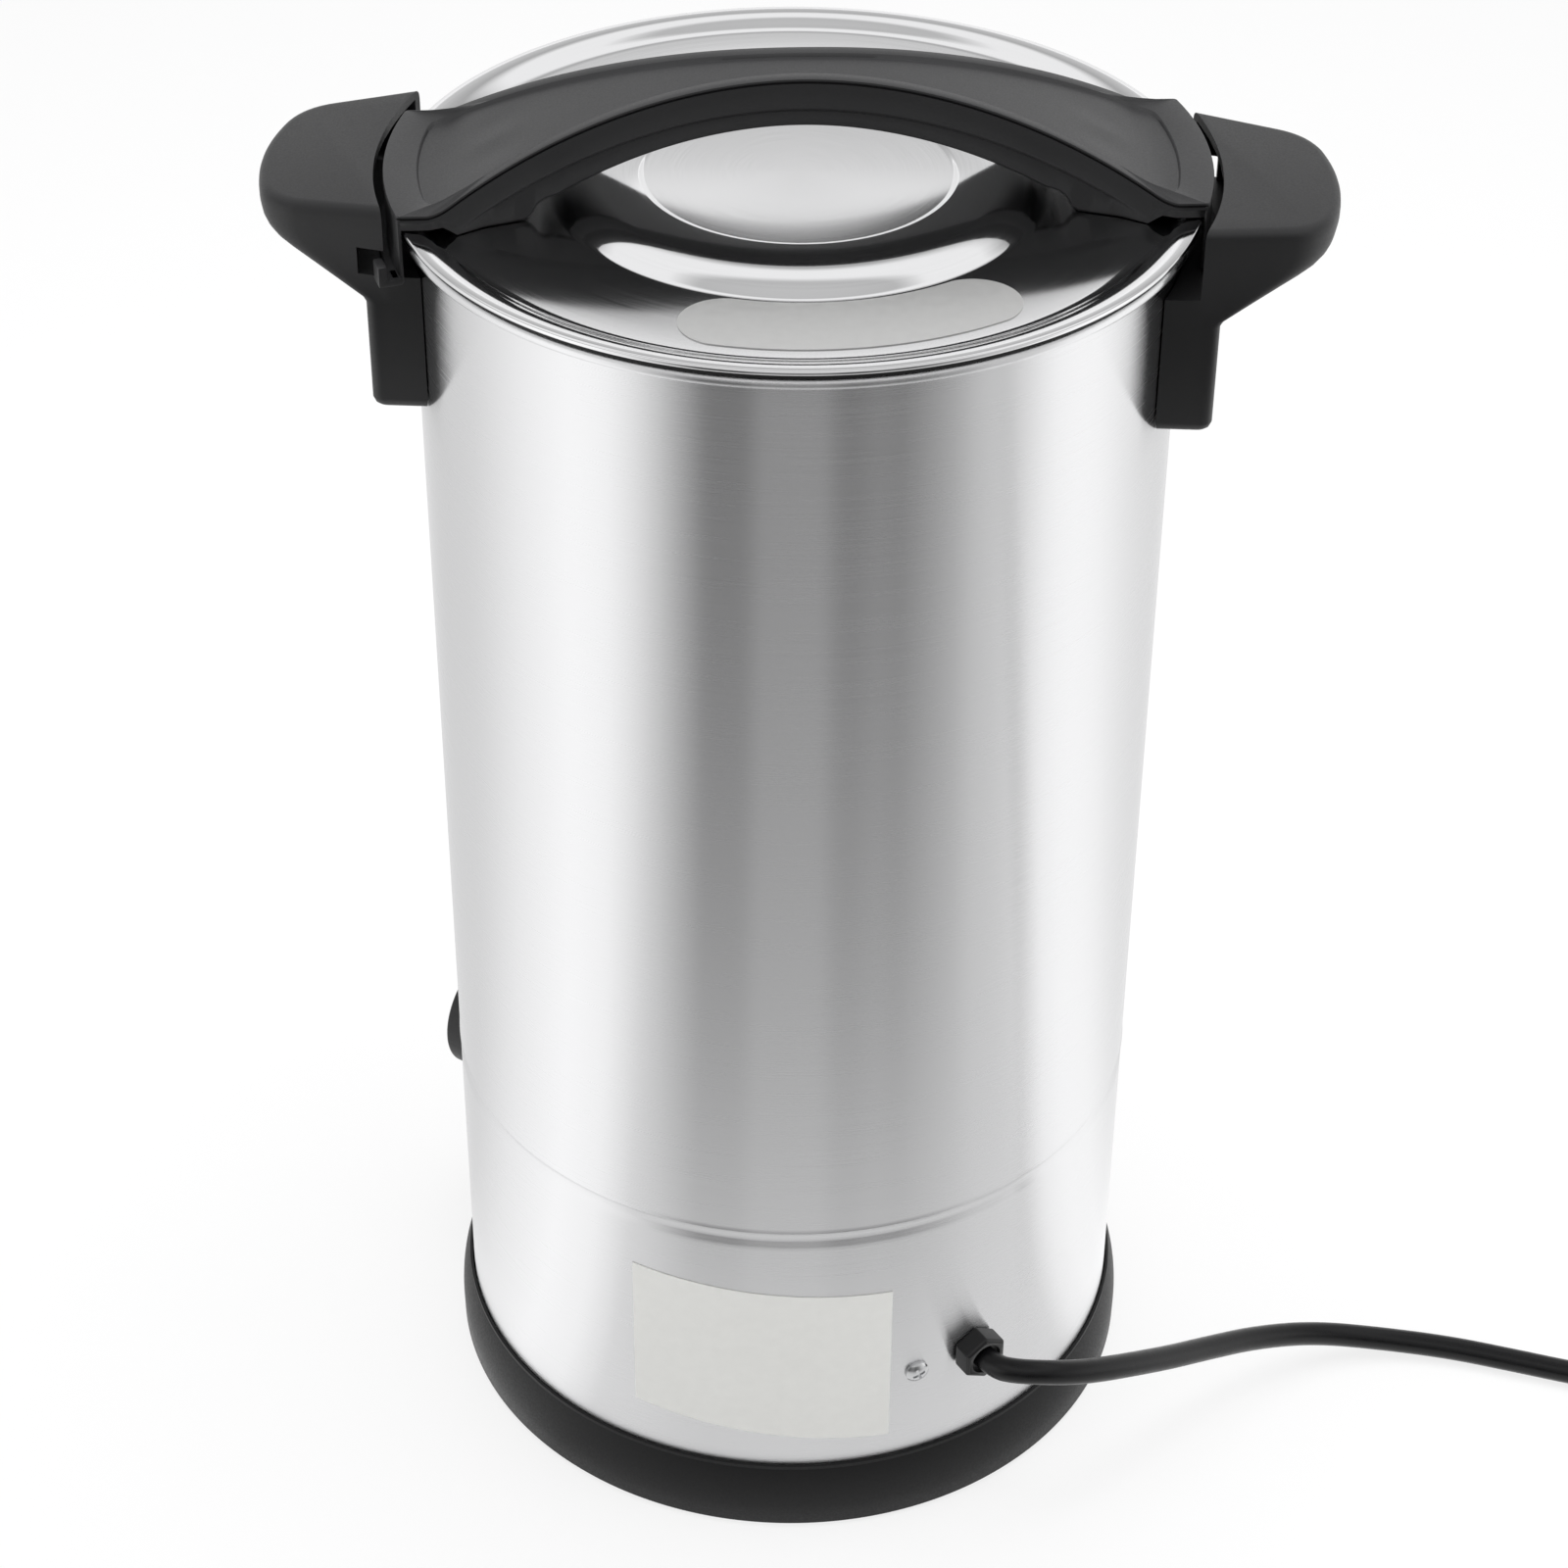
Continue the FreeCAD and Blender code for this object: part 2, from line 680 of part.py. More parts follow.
# ---------------------------------------------------------------- controls
def make_thermostat():
    def on_axis(reach, across="0"):
        return facing("knob_bearing", reach, "control_height", across)

    case = block("case_width", "case_height", "case_depth", on_axis("case_front - case_depth"))
    shaft_hole = cylinder("shaft_radius + bolt_gap", "case_depth", on_axis("case_front - 0.4 * case_depth"))
    keep("thermostat_body", cut(case, shaft_hole))
    screws = [pan_screw("2 * case_screw", "case_screw", "case_screw", "barrel_wall + case_gap - 2 * hole_gap",
                        on_axis("film_inside", "%d * case_screw_spread" % side)) for side in (-1, 1)]
    keep("thermostat_screws", grouped(*screws))
    shaft_start = "case_front - 0.35 * case_depth"
    keep("thermostat_shaft", cylinder("shaft_radius", "knob_back + shaft_depth - (%s)" % shaft_start,
                                      on_axis(shaft_start)))
    back = on_axis("knob_back")
    disc = turned([
        ("0", "0"), ("knob_radius", "0"), ("knob_radius - 0.4", "0.93 * knob_depth"),
        ("knob_radius - 1.6", "knob_depth", "1.2"), ("0", "knob_depth"),
    ], back)
    grip = block("grip_width", "1.88 * knob_radius", "knob_depth + grip_proud - knob_skin / 2",
                 on_axis("knob_back + knob_skin / 2"))
    grip = rounded(grip, "0.13 * grip_width", every)
    bore = cylinder("shaft_radius", "2 * shaft_depth", on_axis("knob_back - shaft_depth"))
    hollow = tube("2 * shaft_radius", "knob_radius - knob_skin", "-knob_gap", "knob_hollow", back)
    keep("thermostat_knob", cut(joined(disc, grip), bore, hollow))


def make_dial_scale():
    skin = tube("film_inside", "film_outside", "control_height - 1.2 * scale_outer",
                "control_height + 1.2 * scale_outer")
    ring = tube("scale_inner", "scale_outer", "0", "scale_outer",
                facing("knob_bearing", "barrel_radius - scale_outer / 2", "control_height"))
    keep("dial_scale", shared(skin, ring))


def make_switch():
    def on_axis(reach):
        return facing("switch_bearing", reach, "control_height")

    bezel = turned([("0", "0"), ("bezel_radius", "0"), ("bezel_radius", "0.55 * bezel_proud"),
                    ("bezel_radius - 0.45 * bezel_proud", "bezel_proud"), ("0", "bezel_proud")],
                   on_axis("barrel_face"))
    can = cylinder("switch_radius", "switch_depth + bezel_proud / 2", on_axis("barrel_radius - switch_depth"))
    window = block("rocker_width + 2.6 * running_gap", "rocker_length + 4.6 * running_gap", "switch_depth",
                   on_axis("barrel_radius - switch_depth / 3"))
    # the paddle stands with its upper end out and rocks on two pins in the housing
    pivot = on_axis("barrel_radius - 1")
    pin_length = "rocker_width + 3"
    pins = pivot + " * placement(vector(-(%s) / 2; 0; 0); rotation(0; 90; 0))" % pin_length
    sockets = cylinder("rocker_pin + bolt_gap", pin_length, pins)
    keep("switch_housing", cut(joined(bezel, can), window, sockets))
    half = "rocker_length / 2"
    paddle = prism([("-" + half, "1.7"), ("0", "1.5"), (half, "2.9"), (half + " - 0.6", "-0.4"),
                    ("3.4", "-2.6"), ("-3.4", "-2.6"), ("-%s + 0.6" % half, "-0.4")],
                   "XZ_Plane", "-rocker_width / 2", "rocker_width",
                   pivot + " * placement(vector(0; 0; 0); rotation(90; 0; 0))")
    keep("switch_rocker", joined(paddle, cylinder("rocker_pin", pin_length, pins)))


def make_lamps():
    holders = []
    for side, name in ((-1, "lamp_lens_amber"), (1, "lamp_lens_green")):
        bearing = "(180 + %d * lamp_angle)" % side
        keep(name, turned([
            ("0", "0"), ("lamp_radius", "0"), ("lamp_radius", "0.3 * lamp_proud"),
            ("0.3 * lamp_radius", "lamp_proud", "lamp_radius"), ("0", "lamp_proud"),
        ], facing(bearing, "barrel_face", "control_height")))
        holders.append(cylinder("lamp_shank", "lamp_depth + face_gap",
                                facing(bearing, "barrel_radius - lamp_depth", "control_height")))
    keep("lamp_holders", grouped(*holders))


# ---------------------------------------------------------------- tap
def tap_axis(reach):
    """A place on the tap's own axis, +Z pointing away from the barrel."""
    return facing("180", reach, "tap_height")


def over_valve(rise):
    """A place on the axis of the tap's stem."""
    return at("0", "valve_centre", "tap_height + " + rise)


def make_tap_shank():
    flange = "shank_inside + face_gap + outer_washer"
    end = "shank_inside + shank_outside"
    keep("tap_shank", turned([
        ("bore_radius", "0"), ("shank_radius", "0"), ("shank_radius", flange), ("flange_radius", flange),
        ("flange_radius", flange + " + flange_sheet"), ("shank_radius", flange + " + flange_sheet"),
        ("shank_radius", end), ("bore_radius", end),
    ], tap_axis("shank_start")))
    bore = "shank_radius + running_gap"
    outer = tube(bore, "flange_radius", "0", "outer_washer", tap_axis("barrel_face"))
    washer_in = "barrel_inside - inner_washer - 1.3"
    inner = tube(bore, "flange_radius - 0.5", "0", "inner_washer", tap_axis(washer_in))
    keep("tap_washers", grouped(outer, inner))
    keep("tap_nut", hex_nut("tap_nut_flats", "shank_radius + bolt_gap", "tap_nut_depth",
                            tap_axis(washer_in + " - tap_nut_depth")))


def make_valve():
    length = "valve_front - valve_rear"
    shank_room = "barrel_radius + shank_outside - valve_rear"
    body = joined(cylinder("valve_radius", length, tap_axis("valve_rear")),
                  hexagon("2 * valve_radius + 2", "collar_depth", tap_axis("valve_rear")),
                  cylinder("neck_radius", "neck_rise", over_valve("0")))
    room = "(ball_radius + running_gap)"
    keep("valve_body", cut(
        body,
        cylinder("shank_radius + bolt_gap", shank_room, tap_axis("valve_rear")),
        cylinder("bore_radius", length, tap_axis("valve_rear")),
        cylinder(room, "2 * seat_reach", tap_axis("valve_centre - seat_reach")),
        cylinder("stem_radius + bolt_gap", "2 * neck_rise", over_valve("0")),
        cylinder(room, "2 * " + room, over_valve("-" + room))))
    seats = [tube("bore_radius + 0.8", room + " - face_gap", "0", "seat_depth", tap_axis(start))
             for start in ("valve_centre - seat_reach", "valve_centre + seat_reach - seat_depth")]
    keep("ball_seats", grouped(*seats))


def make_spout():
    def bent_pipe(radius):
        return joined(cylinder(radius, "spout_axis - valve_front", tap_axis("valve_front")),
                      cylinder(radius, "spout_drop", at("0", "spout_axis", "tap_height - spout_drop")),
                      ball(radius, at("0", "spout_axis", "tap_height")))

    keep("spout", cut(bent_pipe("spout_radius"), bent_pipe("bore_radius")))


def make_ball_and_stem():
    """Closed, the ball's port lies along X; a tongue on the stem turns it."""
    port = cylinder("bore_radius", "3 * ball_radius",
                    at("-1.5 * ball_radius", "valve_centre", "tap_height", "rotation(0; 90; 0)"))
    tongue_rise, tongue_width = "ball_radius - 1.7", "3"
    slot = block("3 * ball_radius", tongue_width + " + 0.2", "5", over_valve(tongue_rise + " - 0.1"))
    keep("valve_ball", cut(ball("ball_radius", over_valve("0")), port, slot))
    foot = "(ball_radius + running_gap)"
    stem = cylinder("stem_radius", "stem_rise - " + foot, over_valve(foot))
    keep("valve_stem", joined(stem, block("1.4 * stem_radius", tongue_width, "2.2", over_valve(tongue_rise))))
    keep("packing_nut", hex_nut("packing_flats", "stem_radius + bolt_gap", "packing_depth",
                                over_valve("neck_rise")))


def make_lever():
    """Closed, the lever lies along +X; dipped vinyl covers its outer part."""
    half = "lever_width / 2"
    low = "neck_rise + packing_depth + 0.4"
    blade = prism([("0", "-" + half, half), ("lever_length - " + half, "-" + half),
                   ("lever_length", "0", half), ("lever_length - " + half, half, half),
                   ("0", half), ("-" + half, "0", half)],
                  "XY_Plane", "0", "lever_sheet", over_valve(low))
    keep("tap_lever", cut(blade, cylinder("stem_radius + bolt_gap", "lever_sheet", over_valve(low))))
    sleeve = block("0.62 * lever_length", "lever_width + 2 * sleeve_wall", "lever_sheet + 2 * sleeve_wall",
                   at("0.67 * lever_length", "valve_centre", "tap_height + %s - sleeve_wall" % low))
    sleeve = rounded(sleeve, "1.2 * sleeve_wall", every)
    wide = "(lever_width / 2 + film_gap)"
    pocket = prism([("0", "-" + wide), ("lever_length - " + half, "-" + wide),
                    ("lever_length + film_gap", "0", wide),
                    ("lever_length - " + half, wide, wide), ("0", wide)],
                   "XY_Plane", "0", "lever_sheet", over_valve(low))
    keep("lever_sleeve", cut(sleeve, pocket))
    keep("lever_nut", hex_nut("lever_nut_flats", "stem_radius + bolt_gap", "packing_depth",
                              over_valve(low + " + lever_sheet")))


# ---------------------------------------------------------------- side handles
def handle_plan(start, knuckle, knuckle_half, end, end_half, bow, start_half):
    """A side handle's outline from above: straight flanks to the knuckle, then a bowed end."""
    return [(start, "-" + start_half), (knuckle, "-" + knuckle_half), (end, "-" + end_half),
            (end, end_half, bow), (knuckle, knuckle_half), (start, start_half)]


def side_handle(turn):
    """One moulded handle on +X, then turned about Z; its +Y wall has the slot for the lid's lug."""
    knuckle = "(barrel_radius + 2)"
    lower = handle_plan("handle_start", "column_reach", "column_half", "(grip_end - 6)", "grip_half",
                        "grip_bow", "column_half")
    upper = handle_plan("handle_start", knuckle, "(column_half - 1.3)", "(grip_end - 10)",
                        "(grip_half - 1.8)", "0.8 * grip_bow", "(column_half - 0.5)")
    plan = lofted(lower, "handle_bottom + 30", upper, "handle_top + 0.2")
    side = prism([("handle_start", "grip_start"), ("column_reach", "grip_start"),
                  ("grip_end - 8", "grip_start + grip_slope"),
                  ("grip_end + 2", "grip_start + 19", "grip_slope"), ("grip_end + 2", "handle_top - 3"),
                  (knuckle, "handle_top"), ("handle_start", "handle_top")],
                 "XZ_Plane", "-2 * column_half", "4 * column_half")
    column = block("column_reach - handle_start", "2 * column_half", "grip_start + 1 - handle_bottom",
                   at("(handle_start + column_reach) / 2", "0", "handle_bottom"))
    reach, foot = number("column_reach"), number("handle_bottom")
    column = rounded(column, "column_fillet",
                     lambda edge: middle(edge).x > reach - 0.1 and middle(edge).z < foot + 0.1)
    room_half = "(column_half - 1.3 - handle_shell)"
    room = prism(handle_plan("handle_start", knuckle, room_half, "(grip_end - 12)",
                             "(grip_half - 3.5 - handle_shell)", "0.8 * grip_bow", room_half),
                 "XY_Plane", "ledge_height", "30")
    hollow = prism([("handle_start", "ledge_height"), ("barrel_radius + 17", "ledge_height"),
                    ("grip_end - 6", "grip_start + 15.5"), ("grip_end - 3", "handle_top - 6"),
                    (knuckle, "handle_top - 0.5 - handle_shell"),
                    ("handle_start", "handle_top - 0.5 - handle_shell")],
                   "XZ_Plane", "-2 * column_half", "4 * column_half")
    mouth = cylinder("barrel_radius + handle_inner", "4 * handle_rise", at("0", "0", "ledge_height"))
    barrel = cylinder("barrel_radius + running_gap", "2 * handle_drop", at("0", "0", "handle_bottom - 10"))
    slot = block("2 * slot_reach", "4 * handle_shell", "slot_height",
                 at("barrel_radius", "column_half - 0.8 * handle_shell", "ledge_height"))
    holes = [cylinder("screw_shank + bolt_gap", "barrel_radius - handle_start + 9",
                      facing("(90 + %d * fixing_angle)" % hand, "handle_start", "fixing_height"))
             for hand in (-1, 1)]
    outside = joined(shared(plan, side), column)
    shell = cut(outside, shared(room, hollow), mouth, barrel, slot, *holes)
    return bind(shell, Placement=at("0", "0", "0", "rotation(%s; 0; 0)" % turn))


def make_side_handles():
    keep("side_handle_right", side_handle("0"))
    keep("side_handle_left", side_handle("180"))
    screws = []
    for bearing in (90, 270):
        for hand in (-1, 1):
            # the head is inside the tank and the shank runs out into the handle
            toward = "(%d + %d * fixing_angle)" % (bearing, hand)
            place = facing(toward, "barrel_inside - face_gap", "fixing_height")
            screws.append(pan_screw("screw_head", "0.56 * screw_head", "screw_shank", "4 * screw_shank",
                                    place + " * placement(vector(0; 0; 0); rotation(0; 180; 0))"))
    keep("handle_screws", grouped(*screws))


# ---------------------------------------------------------------- lid
def dome_surface(level):
    """The middle of the spun lid from its disc over the crest down to the flat at a level."""
    disc, crest = level + " + disc_rise", level + " + crest_rise"
    return ([("0", disc), ("disc_radius", disc)]
            + ogee("disc_radius", disc, "crest_radius", crest, "0.4", 1)
            + ogee("crest_radius", crest, "dome_radius", level, "0.88", -1))


def lid_surface(level):
    """One face of the spun lid from its centre to the crest of its brim."""
    return (dome_surface(level) + [("brim_start", level)]
            + ogee("brim_start", level, "lid_radius - roll_radius - 1.7", level + " + brim_rise", "0.4", 1))


def backwards(corners):
    """The same line walked the other way: each bend moves to the corner it now arrives at."""
    walked = [corners[-1][:2]]
    for before, corner in zip(reversed(corners[:-1]), reversed(corners[1:])):
        walked.append(before[:2] + tuple("-(%s)" % bend for bend in corner[2:]))
    return walked


def on_lid_screw(hand, height, turn="rotation(0; 0; 0)"):
    """A place on one of the two screws that hold the arch to the lid."""
    reach = "%d * lid_screw_circle" % hand
    return at(reach + " * cos(arch_angle)", reach + " * sin(arch_angle)", height, turn)


def make_lid():
    edge = [("lid_radius - roll_radius", "roll_centre + roll_radius"),
            ("lid_radius", "roll_centre", "-roll_radius"),
            ("lid_radius - roll_radius", "roll_centre - roll_radius", "-roll_radius")]
    skin = turned(lid_surface("lid_height") + edge + backwards(lid_surface("(lid_height - lid_wall)")))
    holes = []
    for hand in (-1, 1):
        through = on_lid_screw(hand, "lid_height - 5 * lid_wall")
        holes.append(cylinder("screw_shank + hole_gap", "10 * lid_wall", through))
    keep("lid", cut(skin, *holes))


def make_lid_seal():
    outside = "(barrel_inside - 0.5)"
    inside = "(%s - seal_width)" % outside
    flange = "lid_radius - 1.5"
    keep("lid_seal", turned([
        (inside, "seal_under - seal_skirt"), (outside, "seal_under - seal_skirt"),
        (outside, "seal_under"), (flange, "seal_under"), (flange, "seal_top"),
        (outside + " + 1", "seal_top"), (outside + " - 1.5", "seal_top - 0.6"), (inside, "seal_under - 0.7"),
    ]))


def make_lid_sticker():
    """The blank clear sticker follows the lid's flat ring and has round ends."""
    cap = "(0.505 * label_width)"

    def on_flat(radius, bearing):
        return "%s * sin(%s)" % (radius, bearing), "-%s * cos(%s)" % (radius, bearing)

    keep("lid_sticker", prism([
        on_flat("label_outer", "label_end_angle") + ("label_outer",),
        on_flat("label_inner", "label_end_angle") + (cap,),
        on_flat("label_inner", "label_start_angle") + ("-label_inner",),
        on_flat("label_outer", "label_start_angle") + (cap,),
    ], "XY_Plane", "lid_height + film_gap / 2", "sticker_sheet"))


# ---------------------------------------------------------------- arched handle
def arch_plan(inset, reach):
    """The arch handle seen from above, a waisted bar with round ends, drawn smaller by inset."""
    waist, flare = "(waist - %s)" % inset, "(flare - %s)" % inset
    shoulder = "(arch_shoulder - 1.4 * %s)" % inset
    bend = "((%s ^ 2 + (%s - %s) ^ 2) / (2 * (%s - %s)))" % (shoulder, flare, waist, flare, waist)
    corner = "sqrt(%s ^ 2 - (%s + 0.5) ^ 2)" % (reach, flare)
    return [("-" + shoulder, "-" + flare), (shoulder, "-" + flare, "-" + bend),
            (corner, "-(%s + 0.5)" % flare), (corner, "%s + 0.5" % flare, reach),
            (shoulder, flare), ("-" + shoulder, flare, "-" + bend),
            ("-" + corner, "%s + 0.5" % flare), ("-" + corner, "-(%s + 0.5)" % flare, reach)]


def arch_side(sink):
    """The arch handle seen from the side, lowered by sink."""
    foot, top = "(lid_height - %s)" % sink, "(arch_top - %s)" % sink
    end, under = "(arch_end - %s)" % sink, "(arch_under - %s)" % sink
    # the top is one arc that runs into the level ends over a fillet
    rise = "(%s - %s)" % (top, end)
    both = "((arch_span ^ 2 + %s ^ 2) / (2 * %s))" % (rise, rise)
    bend = "(%s - arch_fillet)" % both
    share = "%s / %s" % (bend, both)
    meet_out = "%s * arch_span" % share
    meet_up = "%s - %s + %s * (%s - %s)" % (top, bend, share, both, rise)
    low_bend = "((arch_foot ^ 2 + (%s - %s) ^ 2) / (2 * (%s - %s)))" % (under, foot, under, foot)
    far = "(1.2 * arch_radius)"
    return [("-" + far, foot), ("-arch_foot", foot), ("arch_foot", foot, "-" + low_bend), (far, foot),
            (far, end), ("arch_span", end), (meet_out, meet_up, "-arch_fillet"),
            ("-" + meet_out, meet_up, bend), ("-arch_span", end, "-arch_fillet"), ("-" + far, end)]


def make_lid_handle():
    wide = "arch_radius"
    plan = prism(arch_plan("0", "arch_radius"), "XY_Plane", "apron_bottom", wide)
    side = prism(arch_side("0"), "XZ_Plane", "-%s / 2" % wide, wide)
    bar = shared(plan, side)
    crown, long = number("arch_top") - 5, number("barrel_radius")

    def lengthwise(edge):
        spot = middle(edge)
        return edge.BoundBox.XLength > long and abs(spot.x) < 5 and spot.z < crown

    bar = rounded(bar, "arch_thick / 3.5", lengthwise)
    inside = "arch_radius - apron_wall"
    apron = shared(plan, tube(inside, "arch_radius + 5", "apron_bottom", "arch_end - 1"))
    brim_room = tube("brim_start - 1", inside, "lid_height - 5", "lid_height + brim_rise + 2 * running_gap")
    panel = prism(arch_plan("panel_inset", "(arch_radius - panel_end)"), "XY_Plane", "lid_height + 3", wide)
    sunk = cut(panel, prism(arch_side("panel_sink"), "XZ_Plane", "-%s / 2" % wide, wide))
    lip_ring = tube(inside, "barrel_radius + lip_reach", "apron_bottom", "apron_bottom + lip_sheet")
    lip = shared(lip_ring, block("3 * arch_radius", "2 * flare + 1", "2 * arch_height",
                                 at("0", "0", "apron_bottom - lip_sheet")))
    lugs = []
    for side_angle in (0, 180):
        place = at("0", "0", "apron_bottom", "rotation(%d + lug_bearing; 0; 0)" % side_angle)
        wedge = cylinder("barrel_radius + lug_reach", "lip_sheet", place, "lug_angle")
        core = cylinder("arch_radius - 0.5", "2 * arch_end_height", at("0", "0", "ledge_height"))
        lugs.append(cut(wedge, core))
    dome_room = turned(dome_surface("(lid_height + running_gap)")
                       + [("dome_radius + running_gap", "lid_height - 5"), ("0", "lid_height - 5")])
    holes = [cylinder("screw_shank + bolt_gap", "4.75 * screw_shank",
                      at("%d * lid_screw_circle" % hand, "0", "lid_height - 1")) for hand in (-1, 1)]
    body = joined(cut(bar, brim_room), apron, lip, *lugs)
    handle = cut(body, sunk, dome_room, *holes)
    keep("lid_handle", bind(handle, Placement=at("0", "0", "0", "rotation(arch_angle; 0; 0)")))
    under_lid = [on_lid_screw(hand, "lid_height - lid_wall", "rotation(0; 180; 0)") for hand in (-1, 1)]
    screws = [pan_screw("screw_head", "0.56 * screw_head", "screw_shank", "4 * screw_shank", place)
              for place in under_lid]
    keep("lid_screws", grouped(*screws))


# ---------------------------------------------------------------- cord
# the cord's route, chosen by hand: sideways and back from the gland's mouth in mm, then the
# height as a share of the drop from the gland to the table
CORD_ROUTE = [
    (0, 0, 1), (4, -5.65, 1.01), (10.5, -8.25, 1.03), (18.9, -7.75, 1.02), (28.2, -4.25, 0.966),
    (38.1, 2.45, 0.881), (49.2, 12.35, 0.765), (61.9, 25.05, 0.61), (76.5, 40.15, 0.442), (94.3, 56.25, 0.27),
    (115.5, 68.15, 0.129), (139.1, 72.45, 0.029), (163, 71.15, 0), (184.2, 66.15, 0), (204.2, 61.15, 0),
    (225.2, 56.95, 0), (247.2, 54.15, 0), (270.2, 53.15, 0),
]


def rounded_path(points):
    """Straight runs joined by tangent arcs, each as large as its two runs allow."""
    share = 0.45
    edges, radii, start = [], [], points[0]
    for before, corner, after in zip(points, points[1:], points[2:]):
        back, ahead = before - corner, after - corner
        shorter = min(back.Length, ahead.Length)
        turn = math.pi - back.getAngle(ahead)
        radii.append(share * shorter / math.tan(turn / 2))
        back.normalize()
        ahead.normalize()
        first, last = corner + back * share * shorter, corner + ahead * share * shorter
        to_centre = (back + ahead).normalize()
        depth = radii[-1] / math.cos(turn / 2) - radii[-1]
        edges.append(Part.LineSegment(start, first).toShape())
        edges.append(Part.Arc(first, corner + to_centre * depth, last).toShape())
        start = last
    edges.append(Part.LineSegment(start, points[-1]).toShape())
    return Part.Wire(edges), radii


def make_cord(points):
    path, radii = rounded_path(points)
    radius = number("cord_radius")
    start = Part.Circle(points[0], points[1] - points[0], radius)
    solid = path.makePipeShell([Part.Wire([start.toShape()])], True, False)
    expected = math.pi * radius ** 2 * path.Length
    print("cord length", round(path.Length, 1), "volume ratio", round(solid.Volume / expected, 4))
    print("cord bend radii", [round(bend, 1) for bend in radii])
    cord = doc.addObject("Part::Feature", "Cord")
    cord.Shape = solid
    keep("mains_cord", cord)


def make_coil_and_plug(points):
    """The put-away coil takes the cord in tangentially; the plug lies beside it, pins along -Y."""
    heading = (points[-1] - points[-2]).normalize()
    centre = points[-1] + V(heading.y, -heading.x, 0) * number("coil_outer - cord_radius")
    coil_x, coil_y = "%.2f" % centre.x, "%.2f" % centre.y
    bend = "3"
    keep("cord_coil", turned([
        ("coil_inner + " + bend, "0"), ("coil_outer - " + bend, "0"), ("coil_outer", bend, bend),
        ("coil_outer", "coil_depth - " + bend), ("coil_outer - " + bend, "coil_depth", bend),
        ("coil_inner + " + bend, "coil_depth"), ("coil_inner", "coil_depth - " + bend, bend),
        ("coil_inner", bend),
    ], at(coil_x, coil_y, "0")))
    lie = "rotation(0; 0; 90)"
    rear = coil_y + " - plug_back"
    axis_x = coil_x + " + coil_outer - 2 * cord_radius"
    boot = turned([("0", "0"), ("1.2 * cord_radius", "0"), ("0.45 * plug_radius", "boot_length"),
                   ("0", "boot_length")], at(axis_x, rear + " + boot_length", "plug_radius", lie))
    shell = turned([("0", "0"), ("0.55 * plug_radius", "0"),
                    ("plug_radius", "0.4 * plug_length", "1.6 * plug_radius"),
                    ("plug_radius", "plug_length"), ("0", "plug_length")],
                   at(axis_x, rear + " + 1", "plug_radius", lie))
    keep("plug_body", joined(boot, shell))
    pins = []
    front = rear + " + 1 - plug_length"
    for side in (-1, 1):
        place = at("%s + %d * pin_spacing / 2" % (axis_x, side), front, "plug_radius", lie)
        pins.append(turned([("0", "0"), ("plug_pin_radius", "0"),
                            ("plug_pin_radius", "plug_pin_length - 1.5"),
                            ("plug_pin_radius / 2", "plug_pin_length", "2"), ("0", "plug_pin_length")],
                           place))
    keep("plug_pins", grouped(*pins))


# ---------------------------------------------------------------- build, check and write
def main():
    make_barrel()
    make_tank_bottom()
    make_heater()
    make_base()
    make_gland()
    make_earth_screw()
    make_sticker()
    make_terminal_block()
    make_thermostat()
    make_dial_scale()
    make_switch()
    make_lamps()
    make_tap_shank()
    make_valve()
    make_spout()
    make_ball_and_stem()
    make_lever()
    make_side_handles()
    make_lid()
    make_lid_seal()
    make_lid_sticker()
    make_lid_handle()
    mouth = V(number("cord_x"), number("cord_y"), number("cord_lie"))
    drop = number("service_height - cord_lie")
    route = [mouth + V(across, back, share * drop) for across, back, share in CORD_ROUTE]
    make_cord(route)
    make_coil_and_plug(route)
    doc.recompute()
    for thing in doc.Objects:
        if "Invalid" in thing.State or "Error" in thing.State:
            raise RuntimeError("%s (%s) failed: %s" % (thing.Name, thing.Label, thing.State))
    os.makedirs("parts", exist_ok=True)
    for label, thing in NODES.items():
        if thing.Shape.isNull() or not thing.Shape.isValid() or thing.Shape.Volume <= 0:
            raise RuntimeError("%s has no valid shape" % label)
        thing.Shape.exportStep("parts/%s.step" % label)
        box = thing.Shape.BoundBox
        print("%-20s solids %d  volume %.1f  x %.1f..%.1f  y %.1f..%.1f  z %.1f..%.1f" % (
            label, len(thing.Shape.Solids), thing.Shape.Volume, box.XMin, box.XMax, box.YMin, box.YMax,
            box.ZMin, box.ZMax))


main()
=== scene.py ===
import bmesh
import bpy
import json
import math
from mathutils import Matrix, Vector

